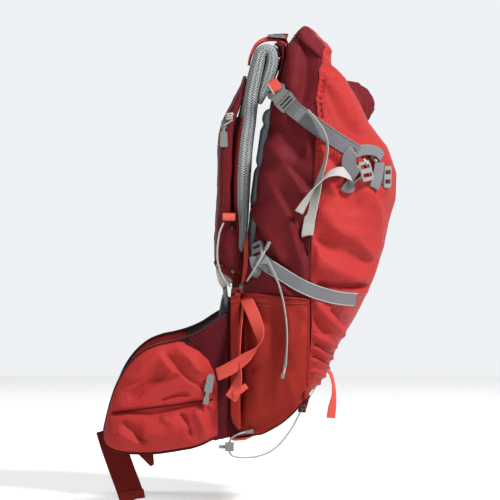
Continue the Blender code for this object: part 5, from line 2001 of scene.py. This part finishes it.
    def build_piping(self) -> None:
        """Dark piping round the wing's outer edge."""
        x, top, low, y = self.table.T
        upper = np.stack([x, self.side * (y + 7.5), top + 0.5], axis=1)
        lower = np.stack([x, self.side * (y + 7.5), low - 0.5], axis=1)[::-1]
        line = smooth_line(np.vstack([upper[::6], lower[::6]]) * MM, 0.004)
        round_cord(f"wing_piping_{self.label}", line, 0.0019, BINDING, self.body)
        inner = line.copy()
        inner[:, 1] -= self.side * 0.015
        round_cord(f"wing_inner_piping_{self.label}", inner, 0.0019, BINDING, self.body)

    def build_zip(self) -> None:
        """Zip along which the slider runs."""
        x = np.linspace(-106, -256, 60)
        z = self.zip_height(x)
        flat = self.cover.reshape(-1, 3)
        y = [self.side * flat[np.argmin((flat[:, 0] - a * MM) ** 2 + (flat[:, 2] - b * MM) ** 2), 1]
             for a, b in zip(x, z)]
        y = np.convolve(np.pad(np.array(y), 3, mode="edge"), np.ones(7) / 7, mode="valid")
        line = np.stack([x * MM, self.side * (y + 0.0010), z * MM], axis=1)
        out = np.array([0.0, self.side, 0.0])
        round_cord(f"hip_zip_tape_{self.label}", line, 0.0014, DARK_WEB, self.body, sides=8)
        stitches(f"hip_zip_teeth_{self.label}", line + out * 0.0013, DARK_WEB, self.body, out, 0.0026,
                 0.0016, 0.0006)


@dataclass
class Belt:
    """Hip webbing on both wings, its hem and the folded end under the left wing."""

    def build(self) -> None:
        """Build the belt's webbing."""
        hang = [(-262, -111, -588), (-255, -110, -612), (-243, -109.5, -646), (-232, -109, -676),
                (-227, -109, -691)]
        hung_strap("belt_left", hang, (1, 0.12, 0.33), 38, DARK_WEB, "wing_left",
                   ("hip_strap_left",))
        hem = [(-228.5, -110.8, -680), (-226.5, -110.8, -692), (-226.2, -108.6, -693), (-228, -107.4, -682)]
        strap("belt_hem_left", hem, (1, 0.12, 0.33), 38, DARK_WEB, "wing_left", step=1.5)
        right = [(-250, 118, -590), (-248, 104, -589), (-246, 88, -588), (-246, 74, -588)]
        strap("belt_right", right, (0, 0, 1), 38, DARK_WEB, "wing_right", ("hip_strap_right",))
        for label, side in SIDES.items():
            path = smooth_line([(-210, side * 131, -612), (-203, side * 132, -626),
                                (-196, side * 132, -641)], 1.5) * MM
            wide = np.linspace(30, 5, len(path)) * MM
            tip = loft(f"wing_tab_{label}", path, (1, 0, 0.4), np.stack([oval(w, 0.0022) for w in wide]))
            dress(tip, DARK_WEB, f"wing_{label}")


@dataclass
class CordEnds:
    """Tips, tab and eyelet of the cords."""

    def build(self) -> None:
        """Build the small fittings on the cords."""
        for name, points in (("base_cord_tip", ((-56, -118, -592), (-46, -118, -590.5))),
                             ("toggle_cord_tip", ((-28, -160.5, -319), (-22, -160, -307)))):
            round_cord(name, smooth_line(np.array(points) * MM, 0.001), 0.0029, GREY_PLASTIC, "pack",
                       sides=16)
        tab = [(31, -118, -538), (30, -119.5, -546), (27, -119.5, -556), (26, -118, -562)]
        strap("base_webbing_tab", tab, (1, 0, 0.2), 12, BURGUNDY, "pack", ("base_tab",), thickness=3.0)
        turn = np.linspace(0, 2 * math.pi, 33)[:-1]
        small = np.linspace(0, 2 * math.pi, 13)[:-1]
        around = np.stack([np.cos(turn), 0 * turn, np.sin(turn)], axis=1)
        rows = [np.array([28, -120.8, -555]) + around * (3.4 + 1.1 * math.cos(a))
                + np.array([0, 1.1 * math.sin(a), 0])
                for a in [*small, small[0]]]
        dress(grid_object("base_eyelet", np.stack(rows) * MM, closed=True), DARK_PLASTIC, "pack")


@dataclass
class Hardware:
    """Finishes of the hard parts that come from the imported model."""

    bevel: float = 0.0006

    def build(self) -> None:
        """Finish every hard part that is still shown."""
        paired = ("upper_buckle", "upper_clip", "lower_buckle", "lifter_buckle", "adjuster", "hip_zip_pull")
        for names, finish in (
                ([f"{name}_{label}" for name in paired for label in SIDES], GREY_PLASTIC),
                (["sternum_buckle", "sternum_clip", "hip_buckle", "hip_clip"], GREY_PLASTIC),
                (["cord_lock", "pocket_zip_pull"], GREY_PLASTIC),
                (["front_cam", "front_buckle"], PALE_PLASTIC),
                (["cord_lock_button"], GREY_PLASTIC),
                (["pole_bead"], RED_PLASTIC),
                (["frame_stay_left", "frame_stay_right"], ALLOY),
                (["frame_sheet"], DARK_PLASTIC)):
            self.finish(names, finish)

    def finish(self, names: Sequence[str], finish: Moulding) -> None:
        """Give parts a finish and rounded edges.

        Args:
            names: The parts.
            finish: Their finish.
        """
        for name in names:
            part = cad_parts[name]
            part.data.materials.clear()
            part.data.materials.append(finish.material())
            rounded = part.modifiers.new("rounded edges", "BEVEL")
            rounded.width = self.bevel
            rounded.segments = 3
            rounded.limit_method = "ANGLE"
            rounded.angle_limit = math.radians(35)
            LOG.info("%s is finished in %s", name, finish.name)


def main() -> None:
    """Build the studio and every piece of the pack, in order."""
    logging.basicConfig(level=logging.INFO, format="%(name)s: %(message)s")
    Studio().build()
    for cord in FREE_CORDS:
        cord.build()
    CordEnds().build()
    bag = Bag()
    bag.build()
    Lid().build()
    skin = Skin(bag.shell, bag.panel)
    SidePocket(skin).build()
    CompressionStraps(skin).build()
    BackPadding().build()
    for label, side in SIDES.items():
        ShoulderStrap(label, side).build()
        LoadLifter(label, side).build()
        StrapAdjuster(label, side).build()
        HipWing(label, side).build()
    StrapPocket().build()
    Belt().build()
    Hardware().build()


if __name__ == "__main__":
    main()
